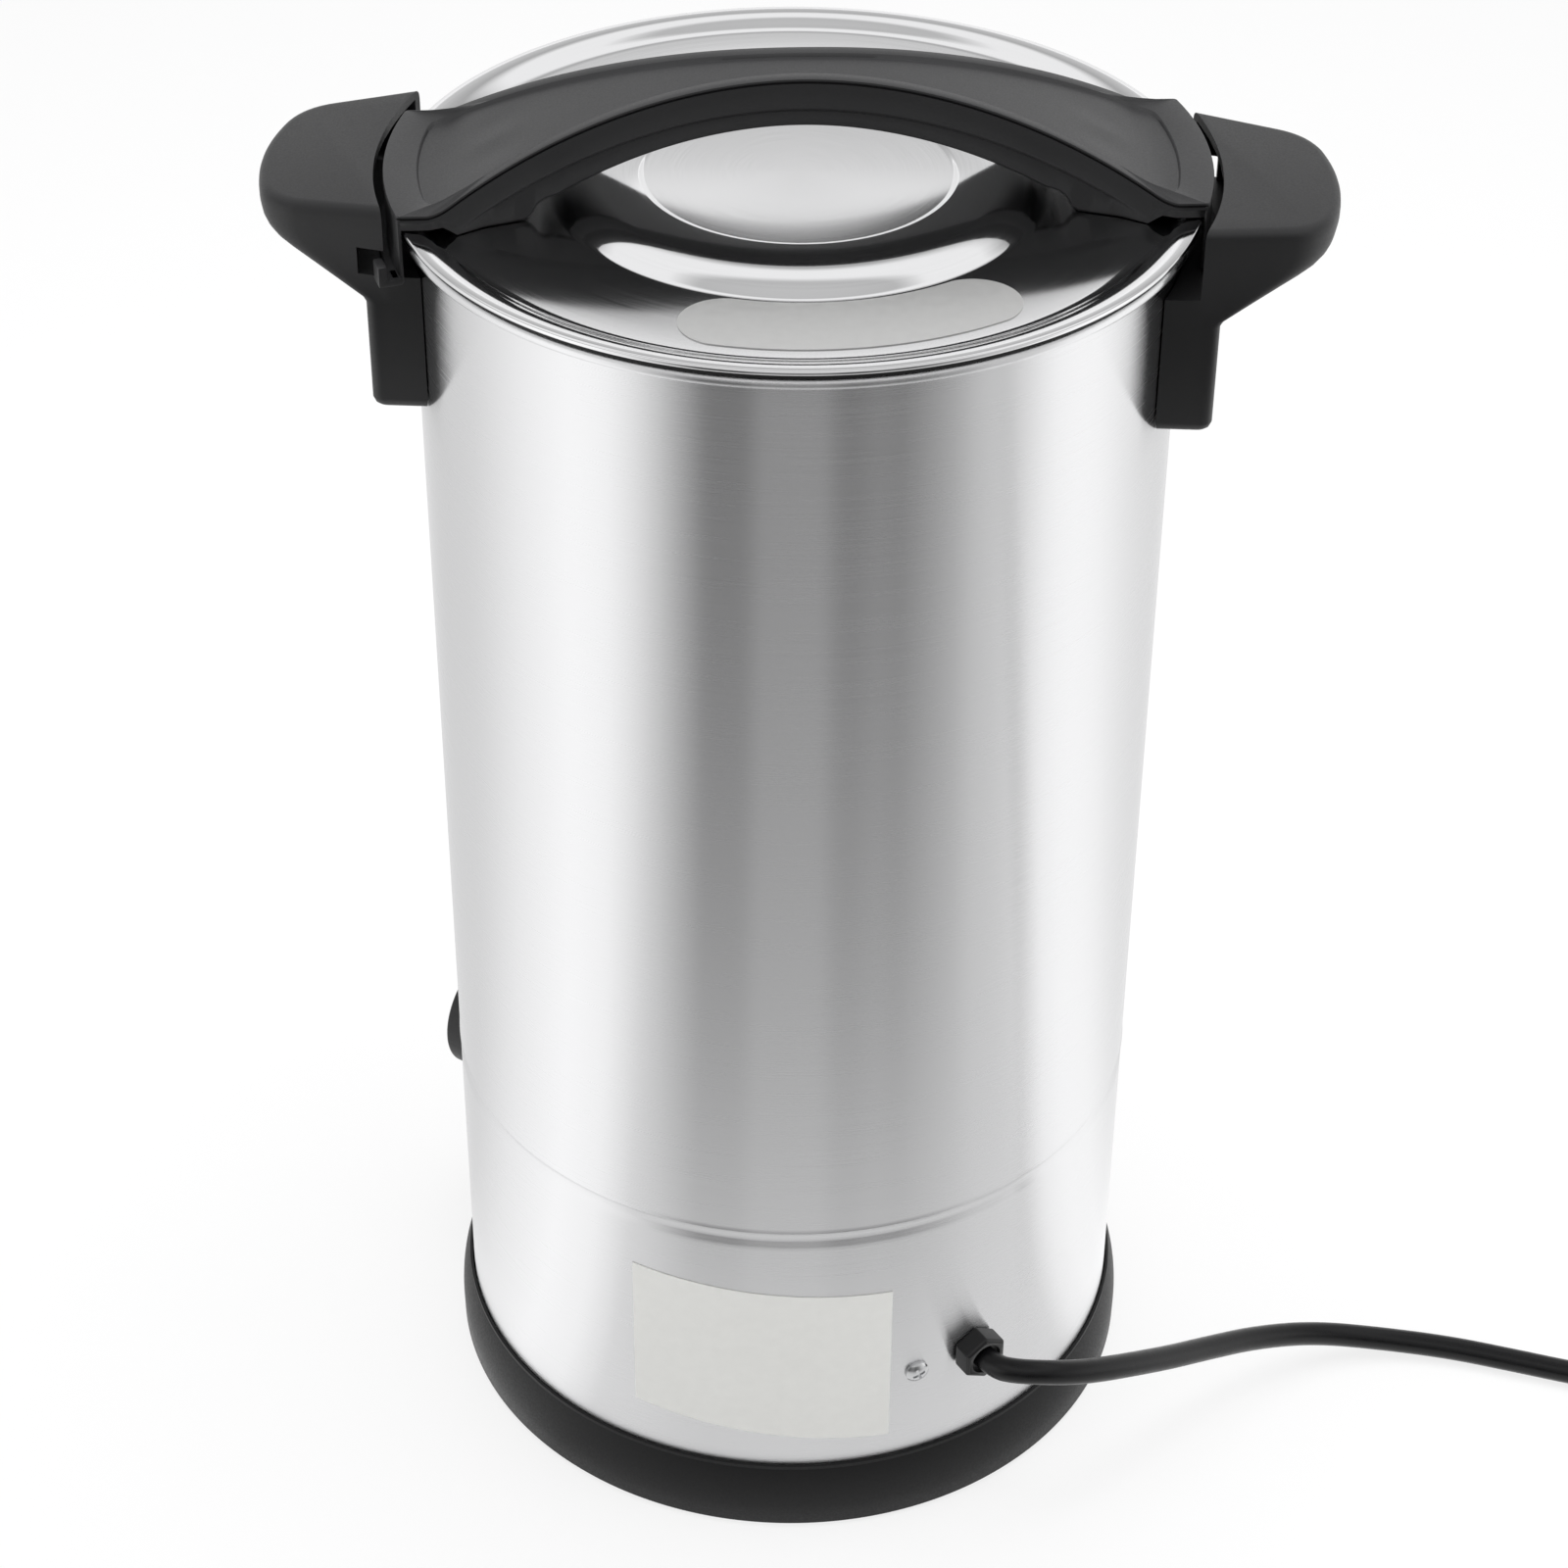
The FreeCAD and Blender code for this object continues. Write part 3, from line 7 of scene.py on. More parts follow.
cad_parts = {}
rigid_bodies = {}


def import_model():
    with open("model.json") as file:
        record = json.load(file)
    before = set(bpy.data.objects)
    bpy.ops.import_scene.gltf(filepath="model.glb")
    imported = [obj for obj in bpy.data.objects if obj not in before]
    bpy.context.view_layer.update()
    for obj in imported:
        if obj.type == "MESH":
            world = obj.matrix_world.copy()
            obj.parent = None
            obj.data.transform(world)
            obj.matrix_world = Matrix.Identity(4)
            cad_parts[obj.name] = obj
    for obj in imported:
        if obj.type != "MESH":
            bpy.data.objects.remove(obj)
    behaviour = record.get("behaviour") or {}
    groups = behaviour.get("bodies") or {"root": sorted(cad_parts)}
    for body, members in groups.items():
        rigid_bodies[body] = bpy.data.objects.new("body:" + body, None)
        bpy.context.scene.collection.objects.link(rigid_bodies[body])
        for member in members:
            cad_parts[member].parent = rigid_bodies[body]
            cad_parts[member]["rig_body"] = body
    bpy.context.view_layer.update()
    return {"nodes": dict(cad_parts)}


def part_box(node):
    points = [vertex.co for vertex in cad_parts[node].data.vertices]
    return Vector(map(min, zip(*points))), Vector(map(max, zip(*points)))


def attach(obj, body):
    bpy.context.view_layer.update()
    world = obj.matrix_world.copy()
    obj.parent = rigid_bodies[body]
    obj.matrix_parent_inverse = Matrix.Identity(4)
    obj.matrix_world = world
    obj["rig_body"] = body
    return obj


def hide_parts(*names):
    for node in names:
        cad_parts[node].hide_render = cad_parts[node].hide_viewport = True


bl_info = {
    "name": "Candle wax melter",
    "version": (1, 0, 0),
    "blender": (4, 5, 0),
    "location": "3D View > Sidebar > Wax melter",
    "description": "Builds the finishes and the smooth pieces of a ten litre wax melter",
    "category": "Add Mesh",
}

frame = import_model()
NODES = frame["nodes"]
MM = 0.001


def heights(node):
    """The lowest and the highest point of a CAD node, in mm."""
    low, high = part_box(node)
    return low[2] / MM, high[2] / MM


def half_width(node):
    """Half the extent of a CAD node from side to side, in mm."""
    low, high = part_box(node)
    return (high[0] - low[0]) / 2 / MM


# -------------------- what a user may change
class MelterSizes(bpy.types.PropertyGroup):
    """Sizes of the pieces that are built here, in metres."""
    sheet: bpy.props.FloatProperty(
        name="Sheet", description="Thickness of the barrel's and the lid's steel",
        default=0.8 * MM, unit="LENGTH")
    barrel_radius: bpy.props.FloatProperty(
        name="Barrel radius", description="Outside of the barrel", default=110 * MM, unit="LENGTH")
    cord_diameter: bpy.props.FloatProperty(
        name="Cord diameter", description="Outside of the cord's sheath", default=8 * MM, unit="LENGTH")
    cord_length: bpy.props.FloatProperty(
        name="Cord length", description="From the gland to the plug", default=1.5, unit="LENGTH")


class MelterColours(bpy.types.PropertyGroup):
    """Colours of the main finishes, as sRGB hex."""
    steel: bpy.props.StringProperty(
        name="Steel", description="Stainless sheet of the barrel and the lid", default="#e4e4e5")
    plastic: bpy.props.StringProperty(
        name="Plastic", description="Moulded side handles", default="#1b1b1c")
    arch: bpy.props.StringProperty(
        name="Lid handle", description="Moulded arch on the lid", default="#29292a")
    base: bpy.props.StringProperty(
        name="Base", description="Moulded base ring", default="#101011")
    film: bpy.props.StringProperty(
        name="Film", description="Blank rating sticker", default="#eeeeea")


MATERIALS = {}  # every finish by its key, filled by main once the colours are registered


# -------------------- mesh helpers
def arc(centre, radius, start, end, steps=8):
    """Points on an arc of an outline, from one angle to another in degrees."""
    points = []
    for index in range(steps + 1):
        angle = math.radians(start + (end - start) * index / steps)
        points.append((centre[0] + radius * math.cos(angle), centre[1] + radius * math.sin(angle)))
    return points


def around(radius, angle, height):
    """The point in metres at a radius and a height in mm, at an angle in radians about Z."""
    return (radius * math.cos(angle) * MM, radius * math.sin(angle) * MM, height * MM)


def ogee(start, end, share, steps=10):
    """An S curve of two tangent arcs, level at both ends; the first arc gets a share of its width."""
    across, up = end[0] - start[0], end[1] - start[1]
    whole = (across ** 2 + up ** 2) / (2 * abs(up))
    meet = start[0] + share * across
    points = []
    for index in range(steps + 1):
        x = start[0] + across * index / steps
        if x <= meet:
            radius = share * whole
            rise = radius - math.sqrt(radius ** 2 - (x - start[0]) ** 2)
            points.append((x, start[1] + math.copysign(rise, up)))
        else:
            radius = (1 - share) * whole
            rise = radius - math.sqrt(radius ** 2 - (end[0] - x) ** 2)
            points.append((x, end[1] - math.copysign(rise, up)))
    return points


def new_object(name, data):
    """An object with the given mesh, curve, light or camera, in the scene."""
    made = bpy.data.objects.new(name, data)
    bpy.context.scene.collection.objects.link(made)
    return made


def join_rings(shape, rings):
    """Add the faces between each closed ring of vertices and the next."""
    for ring, following in zip(rings, rings[1:]):
        for index in range(len(ring)):
            after = (index + 1) % len(ring)
            corners = list(dict.fromkeys((ring[index], ring[after], following[after], following[index])))
            if len(corners) > 2:
                shape.faces.new(corners)


def mesh_of(shape, name):
    """The mesh of a finished bmesh, with its faces turned outwards."""
    bmesh.ops.recalc_face_normals(shape, faces=shape.faces)
    mesh = bpy.data.meshes.new(name)
    shape.to_mesh(mesh)
    shape.free()
    return mesh


def smooth(mesh, crease):
    """Shade a mesh smooth but for the edges that turn more than a crease in degrees."""
    mesh.shade_smooth()
    mesh.set_sharp_from_angle(angle=math.radians(crease))


def lathe(name, outline, steps=256):
    """A closed skin turned about Z from a closed outline of (radius, height) in millimetres."""
    shape = bmesh.new()
    rings = []
    for radius, height in outline:
        if radius < 0.001:
            rings.append([shape.verts.new((0, 0, height * MM))] * steps)
        else:
            rings.append([shape.verts.new(around(radius, 2 * math.pi * index / steps, height))
                          for index in range(steps)])
    join_rings(shape, rings + rings[:1])
    mesh = mesh_of(shape, name)
    smooth(mesh, 35)
    return new_object(name, mesh)


def apply(made, modifier):
    """Make a modifier's result the piece's own mesh."""
    with bpy.context.temp_override(object=made, active_object=made, selected_objects=[made]):
        bpy.ops.object.modifier_apply(modifier=modifier.name)


def round_edges(made, width, steps=3):
    """Round every edge that turns sharply."""
    bevel = made.modifiers.new("Edges", "BEVEL")
    bevel.width = width
    bevel.segments = steps
    bevel.limit_method = "ANGLE"
    bevel.angle_limit = math.radians(38)
    bevel.miter_outer = "MITER_ARC"
    bevel.use_clamp_overlap = True
    apply(made, bevel)
    smooth(made.data, 50)


def softened(node, name, width, finish, slot):
    """A copy of a CAD node whose flat faces are whole again and whose edges are rounded."""
    mesh = NODES[node].data.copy()
    mesh.name = name
    shape = bmesh.new()
    shape.from_mesh(mesh)
    bmesh.ops.remove_doubles(shape, verts=shape.verts, dist=0.002 * MM)
    bmesh.ops.dissolve_limit(shape, angle_limit=math.radians(1.5), verts=shape.verts, edges=shape.edges)
    shape.to_mesh(mesh)
    shape.free()
    mesh.materials.clear()
    made = new_object(name, mesh)
    round_edges(made, width)
    stand_in(made, finish, slot, NODES[node]["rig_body"], node)
    return made


def stand_in(piece, finish, slot, body, *nodes):
    """Give a piece its finish and its body, and hide the CAD nodes it replaces; slot is not used."""
    piece.data.materials.clear()
    piece.data.materials.append(MATERIALS[finish])
    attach(piece, body)
    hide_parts(*nodes)


def dress(finish, *nodes):
    """Give carried-over CAD nodes one of the finishes, through their own slots."""
    for node in nodes:
        thing = NODES[node]
        if not thing.material_slots:
            thing.data.materials.append(None)
        for slot in thing.material_slots:
            slot.link = "OBJECT"
            slot.material = MATERIALS[finish]
        smooth(thing.data, 35)


# -------------------- material helpers
def linear(text):
    """A linear colour from an sRGB hex value."""
    colour = []
    for index in (1, 3, 5):
        value = int(text[index:index + 2], 16) / 255
        colour.append(value / 12.92 if value <= 0.04045 else ((value + 0.055) / 1.055) ** 2.4)
    return colour + [1.0]


def shaded(text, share):
    """A hex value with every channel taken down to a share of it."""
    return "#" + "".join("%02x" % round(int(text[index:index + 2], 16) * share) for index in (1, 3, 5))


def add(tree, kind, inputs=(), **settings):
    """Add a node, set its properties, and fill its sockets with values or links."""
    made = tree.nodes.new(kind)
    for name, value in settings.items():
        setattr(made, name, value)
    for name, value in dict(inputs).items():
        if isinstance(value, bpy.types.NodeSocket):
            tree.links.new(value, made.inputs[name])
        else:
            made.inputs[name].default_value = value
    return made


def material(name, build):
    """A material whose tree a function fills; the function returns the shader's socket."""
    made = bpy.data.materials.new(name)
    made.use_nodes = True
    tree = made.node_tree
    tree.nodes.clear()
    output = add(tree, "ShaderNodeOutputMaterial")
    tree.links.new(build(tree), output.inputs["Surface"])
    return made


def place(tree):
    """Position in metres in the melter's own frame."""
    return add(tree, "ShaderNodeTexCoord").outputs["Object"]


def ramp(tree, factor, low, high):
    """Spread a noise, which keeps mostly to its middle, over a range of values."""
    return add(tree, "ShaderNodeMapRange", {0: factor, 1: 0.3, 2: 0.7, 3: low, 4: high}).outputs[0]


def maths(tree, operation, first, second):
    """One sum on two values or sockets."""
    return add(tree, "ShaderNodeMath", {0: first, 1: second}, operation=operation).outputs[0]


def distance(tree, vector):
    """The length of a vector."""
    return add(tree, "ShaderNodeVectorMath", {0: vector}, operation="LENGTH").outputs["Value"]


def radius_about_z(tree):
    """Distance from the melter's middle line, in metres."""
    x, y = add(tree, "ShaderNodeSeparateXYZ", {0: place(tree)}).outputs[:2]
    return distance(tree, add(tree, "ShaderNodeCombineXYZ", {0: x, 1: y}).outputs[0])


def turning_lines(tree, along, across):
    """Noise of marks that run round Z, as long and as wide as given in metres."""
    x, y, z = add(tree, "ShaderNodeSeparateXYZ", {0: place(tree)}).outputs
    barrel_radius = bpy.context.scene.melter_sizes.barrel_radius
    arc_length = maths(tree, "MULTIPLY", maths(tree, "ARCTAN2", y, x), barrel_radius / along)
    rise = maths(tree, "MULTIPLY", maths(tree, "ADD", z, radius_about_z(tree)), 1 / across)
    marks = add(tree, "ShaderNodeCombineXYZ", {0: arc_length, 1: rise}).outputs[0]
    return noise(tree, marks, 1.0, 3.0)


def turning_tangent(tree):
    """The direction round Z, for the gleam of turned or brushed metal."""
    return add(tree, "ShaderNodeTangent", direction_type="RADIAL", axis="Z").outputs[0]


def noise(tree, vector, scale, detail):
    """A cloudy pattern from 0 to 1."""
    sockets = {"Vector": vector, "Scale": scale, "Detail": detail}
    return add(tree, "ShaderNodeTexNoise", sockets).outputs[0]


def grain(tree, across, detail=2.0):
    """A cloudy pattern whose patches are as wide as given in metres."""
    return noise(tree, place(tree), 1 / across, detail)


def bump(tree, height, strength, depth):
    """Relief of a real depth in metres."""
    return add(tree, "ShaderNodeBump", {
        "Height": height, "Strength": strength, "Distance": depth}).outputs[0]


def blend(tree, factor, first, second, how="MIX"):
    """A colour between two colours."""
    inputs = {0: factor, 6: first, 7: second}
    return add(tree, "ShaderNodeMix", inputs, data_type="RGBA", blend_type=how).outputs[2]


def tint(tree, factor, low, high):
    """A colour between two hex values."""
    return blend(tree, factor, linear(low), linear(high))


def principled(tree, inputs):
    """The one shader that every finish uses."""
    return add(tree, "ShaderNodeBsdfPrincipled", inputs).outputs[0]


# -------------------- materials
LID_DISC = 43.5  # radius in mm of the satin disc in the middle of the lid


def brushed_stainless(tree):
    # 304 stainless sheet, brushed with an abrasive belt while it turned: hairlines run round the
    # barrel, so the gleam is drawn out up and down it.  Drawn coarser than the grit, to show.
    steel = bpy.context.scene.melter_colours.steel
    lines = turning_lines(tree, 60 * MM, 0.4 * MM)
    return principled(tree, {
        "Base Color": tint(tree, lines, shaded(steel, 0.955), steel),
        "Metallic": 1.0,
        "Roughness": ramp(tree, lines, 0.23, 0.28),
        "Anisotropic": 1.0,
        "Anisotropic Rotation": 0.25,
        "Tangent": turning_tangent(tree),
        "Normal": bump(tree, lines, 0.12, 0.006 * MM),
    })


def spun_stainless(tree):
    # 304 stainless disc, spun over a former and buffed to a mirror; the disc in the middle kept
    # the satin of its turning lines.
    steel = bpy.context.scene.melter_colours.steel
    lines = turning_lines(tree, 90 * MM, 0.35 * MM)
    buffed = add(tree, "ShaderNodeMapRange", {
        0: radius_about_z(tree), 1: LID_DISC * MM, 2: (LID_DISC + 1) * MM}).outputs[0]
    satin = ramp(tree, lines, 0.14, 0.19)
    mirror = ramp(tree, lines, 0.06, 0.11)
    rough = add(tree, "ShaderNodeMix", {0: buffed, 2: satin, 3: mirror}).outputs[0]
    return principled(tree, {
        "Base Color": tint(tree, lines, shaded(steel, 0.96), steel),
        "Metallic": 1.0,
        "Roughness": rough,
        "Anisotropic": 0.5,
        "Anisotropic Rotation": 0.25,
        "Tangent": turning_tangent(tree),
        "Normal": bump(tree, lines, 0.1, 0.003 * MM),
    })


def bright_stainless(tree):
    # turned and polished stainless: soft mirror with a faint handling haze
    haze = grain(tree, 11.1 * MM)
    return principled(tree, {
        "Base Color": tint(tree, haze, "#c8c9ca", "#d8d8d9"),
        "Metallic": 1.0,
        "Roughness": ramp(tree, haze, 0.16, 0.26),
        "Normal": bump(tree, haze, 0.05, 0.02 * MM),
    })


def zinc_plate(tree):
    # bright zinc on cold formed steel: slightly blue, cloudy shine
    cloud = grain(tree, 2.5 * MM, 3.0)
    return principled(tree, {
        "Base Color": tint(tree, cloud, "#b4b9bd", "#cdd0d2"),
        "Metallic": 1.0,
        "Roughness": ramp(tree, cloud, 0.24, 0.38),
    })


def cast_aluminium(tree):
    # die cast aluminium: soft grey with a sandy skin
    sand = grain(tree, 0.83 * MM)
    return principled(tree, {
        "Base Color": tint(tree, sand, "#b5b6b7", "#c9cacb"),
        "Metallic": 1.0,
        "Roughness": ramp(tree, sand, 0.4, 0.55),
        "Normal": bump(tree, sand, 0.3, 0.05 * MM),
    })


def heated_sheath(tree):
    # stainless heater sheath, browned by its own heat
    cloud = grain(tree, 14.3 * MM, 3.0)
    return principled(tree, {
        "Base Color": tint(tree, cloud, "#4d4640", "#6f665c"),
        "Metallic": 1.0,
        "Roughness": ramp(tree, cloud, 0.42, 0.6),
    })


def moulded(colour, pebble_size, depth, rough_low, rough_high, shine=0.4):
    """Injection moulded plastic whose tool was spark eroded: a fine even pebble on an even body."""
    def build(tree):
        pebble = grain(tree, pebble_size)
        broad = grain(tree, 35 * MM)
        return principled(tree, {
            "Base Color": tint(tree, broad, shaded(colour, 0.84), colour),
            "Roughness": ramp(tree, pebble, rough_low, rough_high),
            "IOR": 1.5,
            "Specular IOR Level": shine,
            "Normal": bump(tree, pebble, 0.35, depth),
        })
    return build


def extruded_sheath(tree):
    # PVC cord sheath, extruded: satin, with a faint waver in its skin
    waver = grain(tree, 2.5 * MM, 3.0)
    return principled(tree, {
        "Base Color": tint(tree, waver, "#08080a", "#0f0f10"),
        "Roughness": ramp(tree, waver, 0.26, 0.36),
        "IOR": 1.5,
        "Specular IOR Level": 0.28,
        "Normal": bump(tree, waver, 0.1, 0.03 * MM),
    })


def moulded_silicone(tree):
    # silicone seal: matt, a little dusty
    dust = grain(tree, 0.8 * MM, 3.0)
    return principled(tree, {
        "Base Color": tint(tree, dust, "#141414", "#1d1d1d"),
        "Roughness": ramp(tree, dust, 0.55, 0.72),
        "IOR": 1.42,
    })


def printed_film(colour, rough):
    """Polyester label stock, left blank: even colour, faint mottle from its backing."""
    def build(tree):
        mottle = grain(tree, 4 * MM, 3.0)
        return principled(tree, {
            "Base Color": tint(tree, mottle, shaded(colour, 0.97), colour),
            "Roughness": ramp(tree, mottle, rough, rough + 0.1),
            "IOR": 1.5,
            "Normal": bump(tree, mottle, 0.05, 0.02 * MM),
        })
    return build


def clear_film(tree):
    # clear polyester label on bright steel: the metal shows through it, greyer and softer
    mottle = grain(tree, 3 * MM, 3.0)
    return principled(tree, {
        "Base Color": tint(tree, mottle, "#c6c6c5", "#d0d0cf"),
        "Metallic": 0.75,
        "Roughness": ramp(tree, mottle, 0.3, 0.38),
        "Coat Weight": 0.4,
        "Coat Roughness": 0.1,
    })


def tinted_lens(colour):
    """Polycarbonate lens, moulded in its colour, clear enough to show depth."""
    def build(tree):
        swirl = grain(tree, 1.5 * MM)
        return principled(tree, {
            "Base Color": tint(tree, swirl, shaded(colour, 0.88), colour),
            "Roughness": ramp(tree, swirl, 0.08, 0.15),
            "IOR": 1.58,
            "Transmission Weight": 0.6,
        })
    return build


def ptfe(tree):
    # machined PTFE: waxy white with fine tool marks
    lines = grain(tree, 0.4 * MM)
    return principled(tree, {
        "Base Color": tint(tree, lines, "#e6e6e2", "#f1f1ee"),
        "Roughness": ramp(tree, lines, 0.35, 0.5),
        "IOR": 1.38,
    })


def make_materials():
    """Every finish of the melter, by the plain name of the real one."""
    colours = bpy.context.scene.melter_colours
    builders = {
        "barrel": ("brushed stainless sheet", brushed_stainless),
        "lid": ("spun stainless sheet", spun_stainless),
        "bright": ("polished stainless", bright_stainless),
        "zinc": ("zinc plated steel", zinc_plate),
        "aluminium": ("cast aluminium", cast_aluminium),
        "sheath": ("browned heater sheath", heated_sheath),
        "handle": ("moulded phenolic handle", moulded(colours.plastic, 0.55 * MM, 0.03 * MM, 0.4, 0.5)),
        "arch": ("moulded phenolic arch", moulded(colours.arch, 0.5 * MM, 0.02 * MM, 0.4, 0.5)),
        "base": ("moulded polypropylene base", moulded(colours.base, 0.7 * MM, 0.03 * MM, 0.45, 0.58, 0.28)),
        "nylon": ("moulded nylon", moulded("#0c0c0d", 0.4 * MM, 0.02 * MM, 0.3, 0.42)),
        "polyamide": ("natural polyamide", moulded("#d8d3c6", 0.5 * MM, 0.02 * MM, 0.45, 0.6)),
        "bakelite": ("brown phenolic", moulded("#2a1f1a", 0.4 * MM, 0.02 * MM, 0.3, 0.45)),
        "rubber": ("moulded rubber", moulded("#1b1b1b", 0.3 * MM, 0.03 * MM, 0.6, 0.75)),
        "rocker": ("red moulded rocker", moulded("#a31d16", 0.6 * MM, 0.01 * MM, 0.22, 0.32)),
        "vinyl": ("dipped vinyl", moulded("#1f1f21", 1.4 * MM, 0.02 * MM, 0.3, 0.42)),
        "cord": ("extruded PVC sheath", extruded_sheath),
        "silicone": ("moulded silicone", moulded_silicone),
        "film": ("blank polyester sticker", printed_film(colours.film, 0.42)),
        "scale": ("blank dial film", printed_film("#343437", 0.3)),
        "clear": ("clear polyester sticker", clear_film),
        "amber": ("amber polycarbonate", tinted_lens("#e08a18")),
        "green": ("green polycarbonate", tinted_lens("#2c9445")),
        "ptfe": ("machined PTFE", ptfe),
    }
    return {key: material(name, build) for key, (name, build) in builders.items()}


# -------------------- stage
# How bright the studio is round the melter, by bearing from the open, dark end of the room
# (0 degrees, -Y, and growing towards +X): a dim doorway, a tall white screen on each side and a
# pale wall behind.
STUDIO = ((-180, 1.1), (-130, 0.84), (-105, 0.92), (-85, 1.18), (-65, 1.35), (-52, 1.25), (-44, 1.02),
          (-37, 0.74), (-30, 0.42), (-23, 0.12), (-12, 0.12), (-7, 0.25), (10, 0.26), (15, 0.14), (19, 0.13),
          (26, 0.2), (32, 0.16), (40, 0.3), (49, 0.48), (54, 0.65), (64, 0.76), (69, 0.84), (74, 1.02),
          (79, 1.2), (88, 1.32), (100, 1.32), (120, 1.06), (143, 0.92), (180, 1.1))
# The sines of the height angle between which the screens end.
SCREEN_TOP = (0.39, 0.42)
# Brightness above them, by the same sine: their lit edge, a dim gap, the ceiling, and its dim middle.
CEILING = ((0.0, 1.4), (0.412, 1.4), (0.435, 0.78), (0.48, 0.66), (0.62, 0.5), (0.72, 1.1), (0.88, 1.1),
           (0.93, 0.62), (1.0, 0.68))


def banded(tree, factor, stops):
    """Grey tones at the given places from 0 to 1, blended between them."""
    band = add(tree, "ShaderNodeValToRGB", {0: factor})
    elements = band.color_ramp.elements
    elements.remove(elements[-1])
    for index, (spot, tone) in enumerate(stops):
        stop = elements[0] if index == 0 else elements.new(spot)
        stop.position = spot
        stop.color = (tone, tone, tone, 1)
    return band.outputs[0]


def studio_tone(tree, vector):
    """The studio's brightness in the direction of a vector, up to the top of its screens."""
    x, y = add(tree, "ShaderNodeSeparateXYZ", {0: vector}).outputs[:2]
    bearing = maths(tree, "ARCTAN2", x, maths(tree, "MULTIPLY", y, -1.0))
    turn = add(tree, "ShaderNodeMapRange", {0: bearing, 1: -math.pi, 2: math.pi}).outputs[0]
    return banded(tree, turn, [((angle + 180) / 360, tone) for angle, tone in STUDIO])


def emitted(tree, kind, colour):
    """A background or a glow of one colour, at strength 1."""
    return add(tree, kind, {0: colour, 1: 1.0}).outputs[0]


def either(tree, share, first, second):
    """One shader or the other, by a share from 0 to 1."""
    return add(tree, "ShaderNodeMixShader", {0: share, 1: first, 2: second}).outputs[0]


def make_world():
    """White to the camera; to the metal, a studio that is dim at the -Y end."""
    world = bpy.data.worlds.new("Studio")
    bpy.context.scene.world = world
    world.use_nodes = True
    tree = world.node_tree
    tree.nodes.clear()
    output = add(tree, "ShaderNodeOutputWorld")
    rays = add(tree, "ShaderNodeLightPath").outputs
    vector = add(tree, "ShaderNodeTexCoord").outputs["Generated"]
    height = add(tree, "ShaderNodeSeparateXYZ", {0: vector}).outputs[2]
    above = add(tree, "ShaderNodeMapRange", {
        0: height, 1: SCREEN_TOP[0], 2: SCREEN_TOP[1]}).outputs[0]
    room = blend(tree, above, studio_tone(tree, vector), banded(tree, height, CEILING))
    plain = emitted(tree, "ShaderNodeBackground", (0.48, 0.48, 0.485, 1.0))
    mirrored = emitted(tree, "ShaderNodeBackground", room)
    lit = either(tree, rays["Is Glossy Ray"], plain, mirrored)
    white = emitted(tree, "ShaderNodeBackground", (1.0, 1.0, 1.0, 1.0))
    clear = maths(tree, "MAXIMUM", rays["Is Camera Ray"], rays["Is Transmission Ray"])
    tree.links.new(either(tree, clear, lit, white), output.inputs["Surface"])


def floor_surface(tree):
    # matt white studio floor; to glossy rays it is not lit paint but a glow, a painted reflection: at least
    # 0.92 near the melter, and the studio's tone by bearing further off
    rays = add(tree, "ShaderNodeLightPath").outputs
    spot = place(tree)
    scuffs = grain(tree, 16.7 * MM)
    paint = add(tree, "ShaderNodeBsdfDiffuse", {0: tint(tree, scuffs, "#f2f2f2", "#f5f5f5")}).outputs[0]
    pale = either(tree, 0.8, paint, emitted(tree, "ShaderNodeEmission", (1.0, 1.0, 1.0, 1.0)))
    fade = {0: distance(tree, spot), 1: 0.1, 2: 0.6, 3: 1.0, 4: 0.0}
    near = add(tree, "ShaderNodeMapRange", fade, interpolation_type="SMOOTHSTEP").outputs[0]
    tone = blend(tree, near, studio_tone(tree, spot), (0.92, 0.92, 0.92, 1.0), "LIGHTEN")
    # glossy rays see the painted glow, not the lit paint
    lit = either(tree, rays["Is Glossy Ray"], paint, emitted(tree, "ShaderNodeEmission", tone))
    return either(tree, rays["Is Camera Ray"], lit, pale)


def make_floor():
    """A wide floor just under the melter's feet."""
    mesh = bpy.data.meshes.new("floor")
    shape = bmesh.new()
    bmesh.ops.create_grid(shape, x_segments=8, y_segments=8, size=4.0)
    shape.to_mesh(mesh)
    shape.free()
    floor = new_object("floor", mesh)
    floor.location.z = -0.05 * MM
    mesh.materials.append(material("matt studio floor", floor_surface))


def make_light(name, spot, aim, width, height, power):
    """A softbox at a spot, turned to face a point and kept out of reflections."""
    light = bpy.data.lights.new(name, "AREA")
    light.shape = "RECTANGLE"
    light.size = width
    light.size_y = height
    light.energy = power
    lamp = new_object(name, light)
    lamp.visible_glossy = False
    lamp.location = spot
    lamp.rotation_euler = (Vector(aim) - Vector(spot)).to_track_quat("-Z", "Y").to_euler()


def make_camera():
    """The camera, above the melter's rear."""
    eye, aim = Vector((0.039695, -0.909166, 0.876515)), Vector((0.000856, -0.019599, 0.230632))
    roll = math.radians(0.501)
    camera = bpy.data.cameras.new("camera")
    camera.sensor_width = 36
    camera.lens = 81.05
    camera.shift_x = -0.00584
    camera.shift_y = 0.00294
    camera.clip_start = 0.05
    holder = new_object("camera", camera)
    facing = (aim - eye).to_track_quat("-Z", "Y").to_matrix().to_4x4()
    holder.matrix_world = Matrix.Translation(eye) @ facing @ Matrix.Rotation(roll, 4, "Z")
    bpy.context.scene.camera = holder


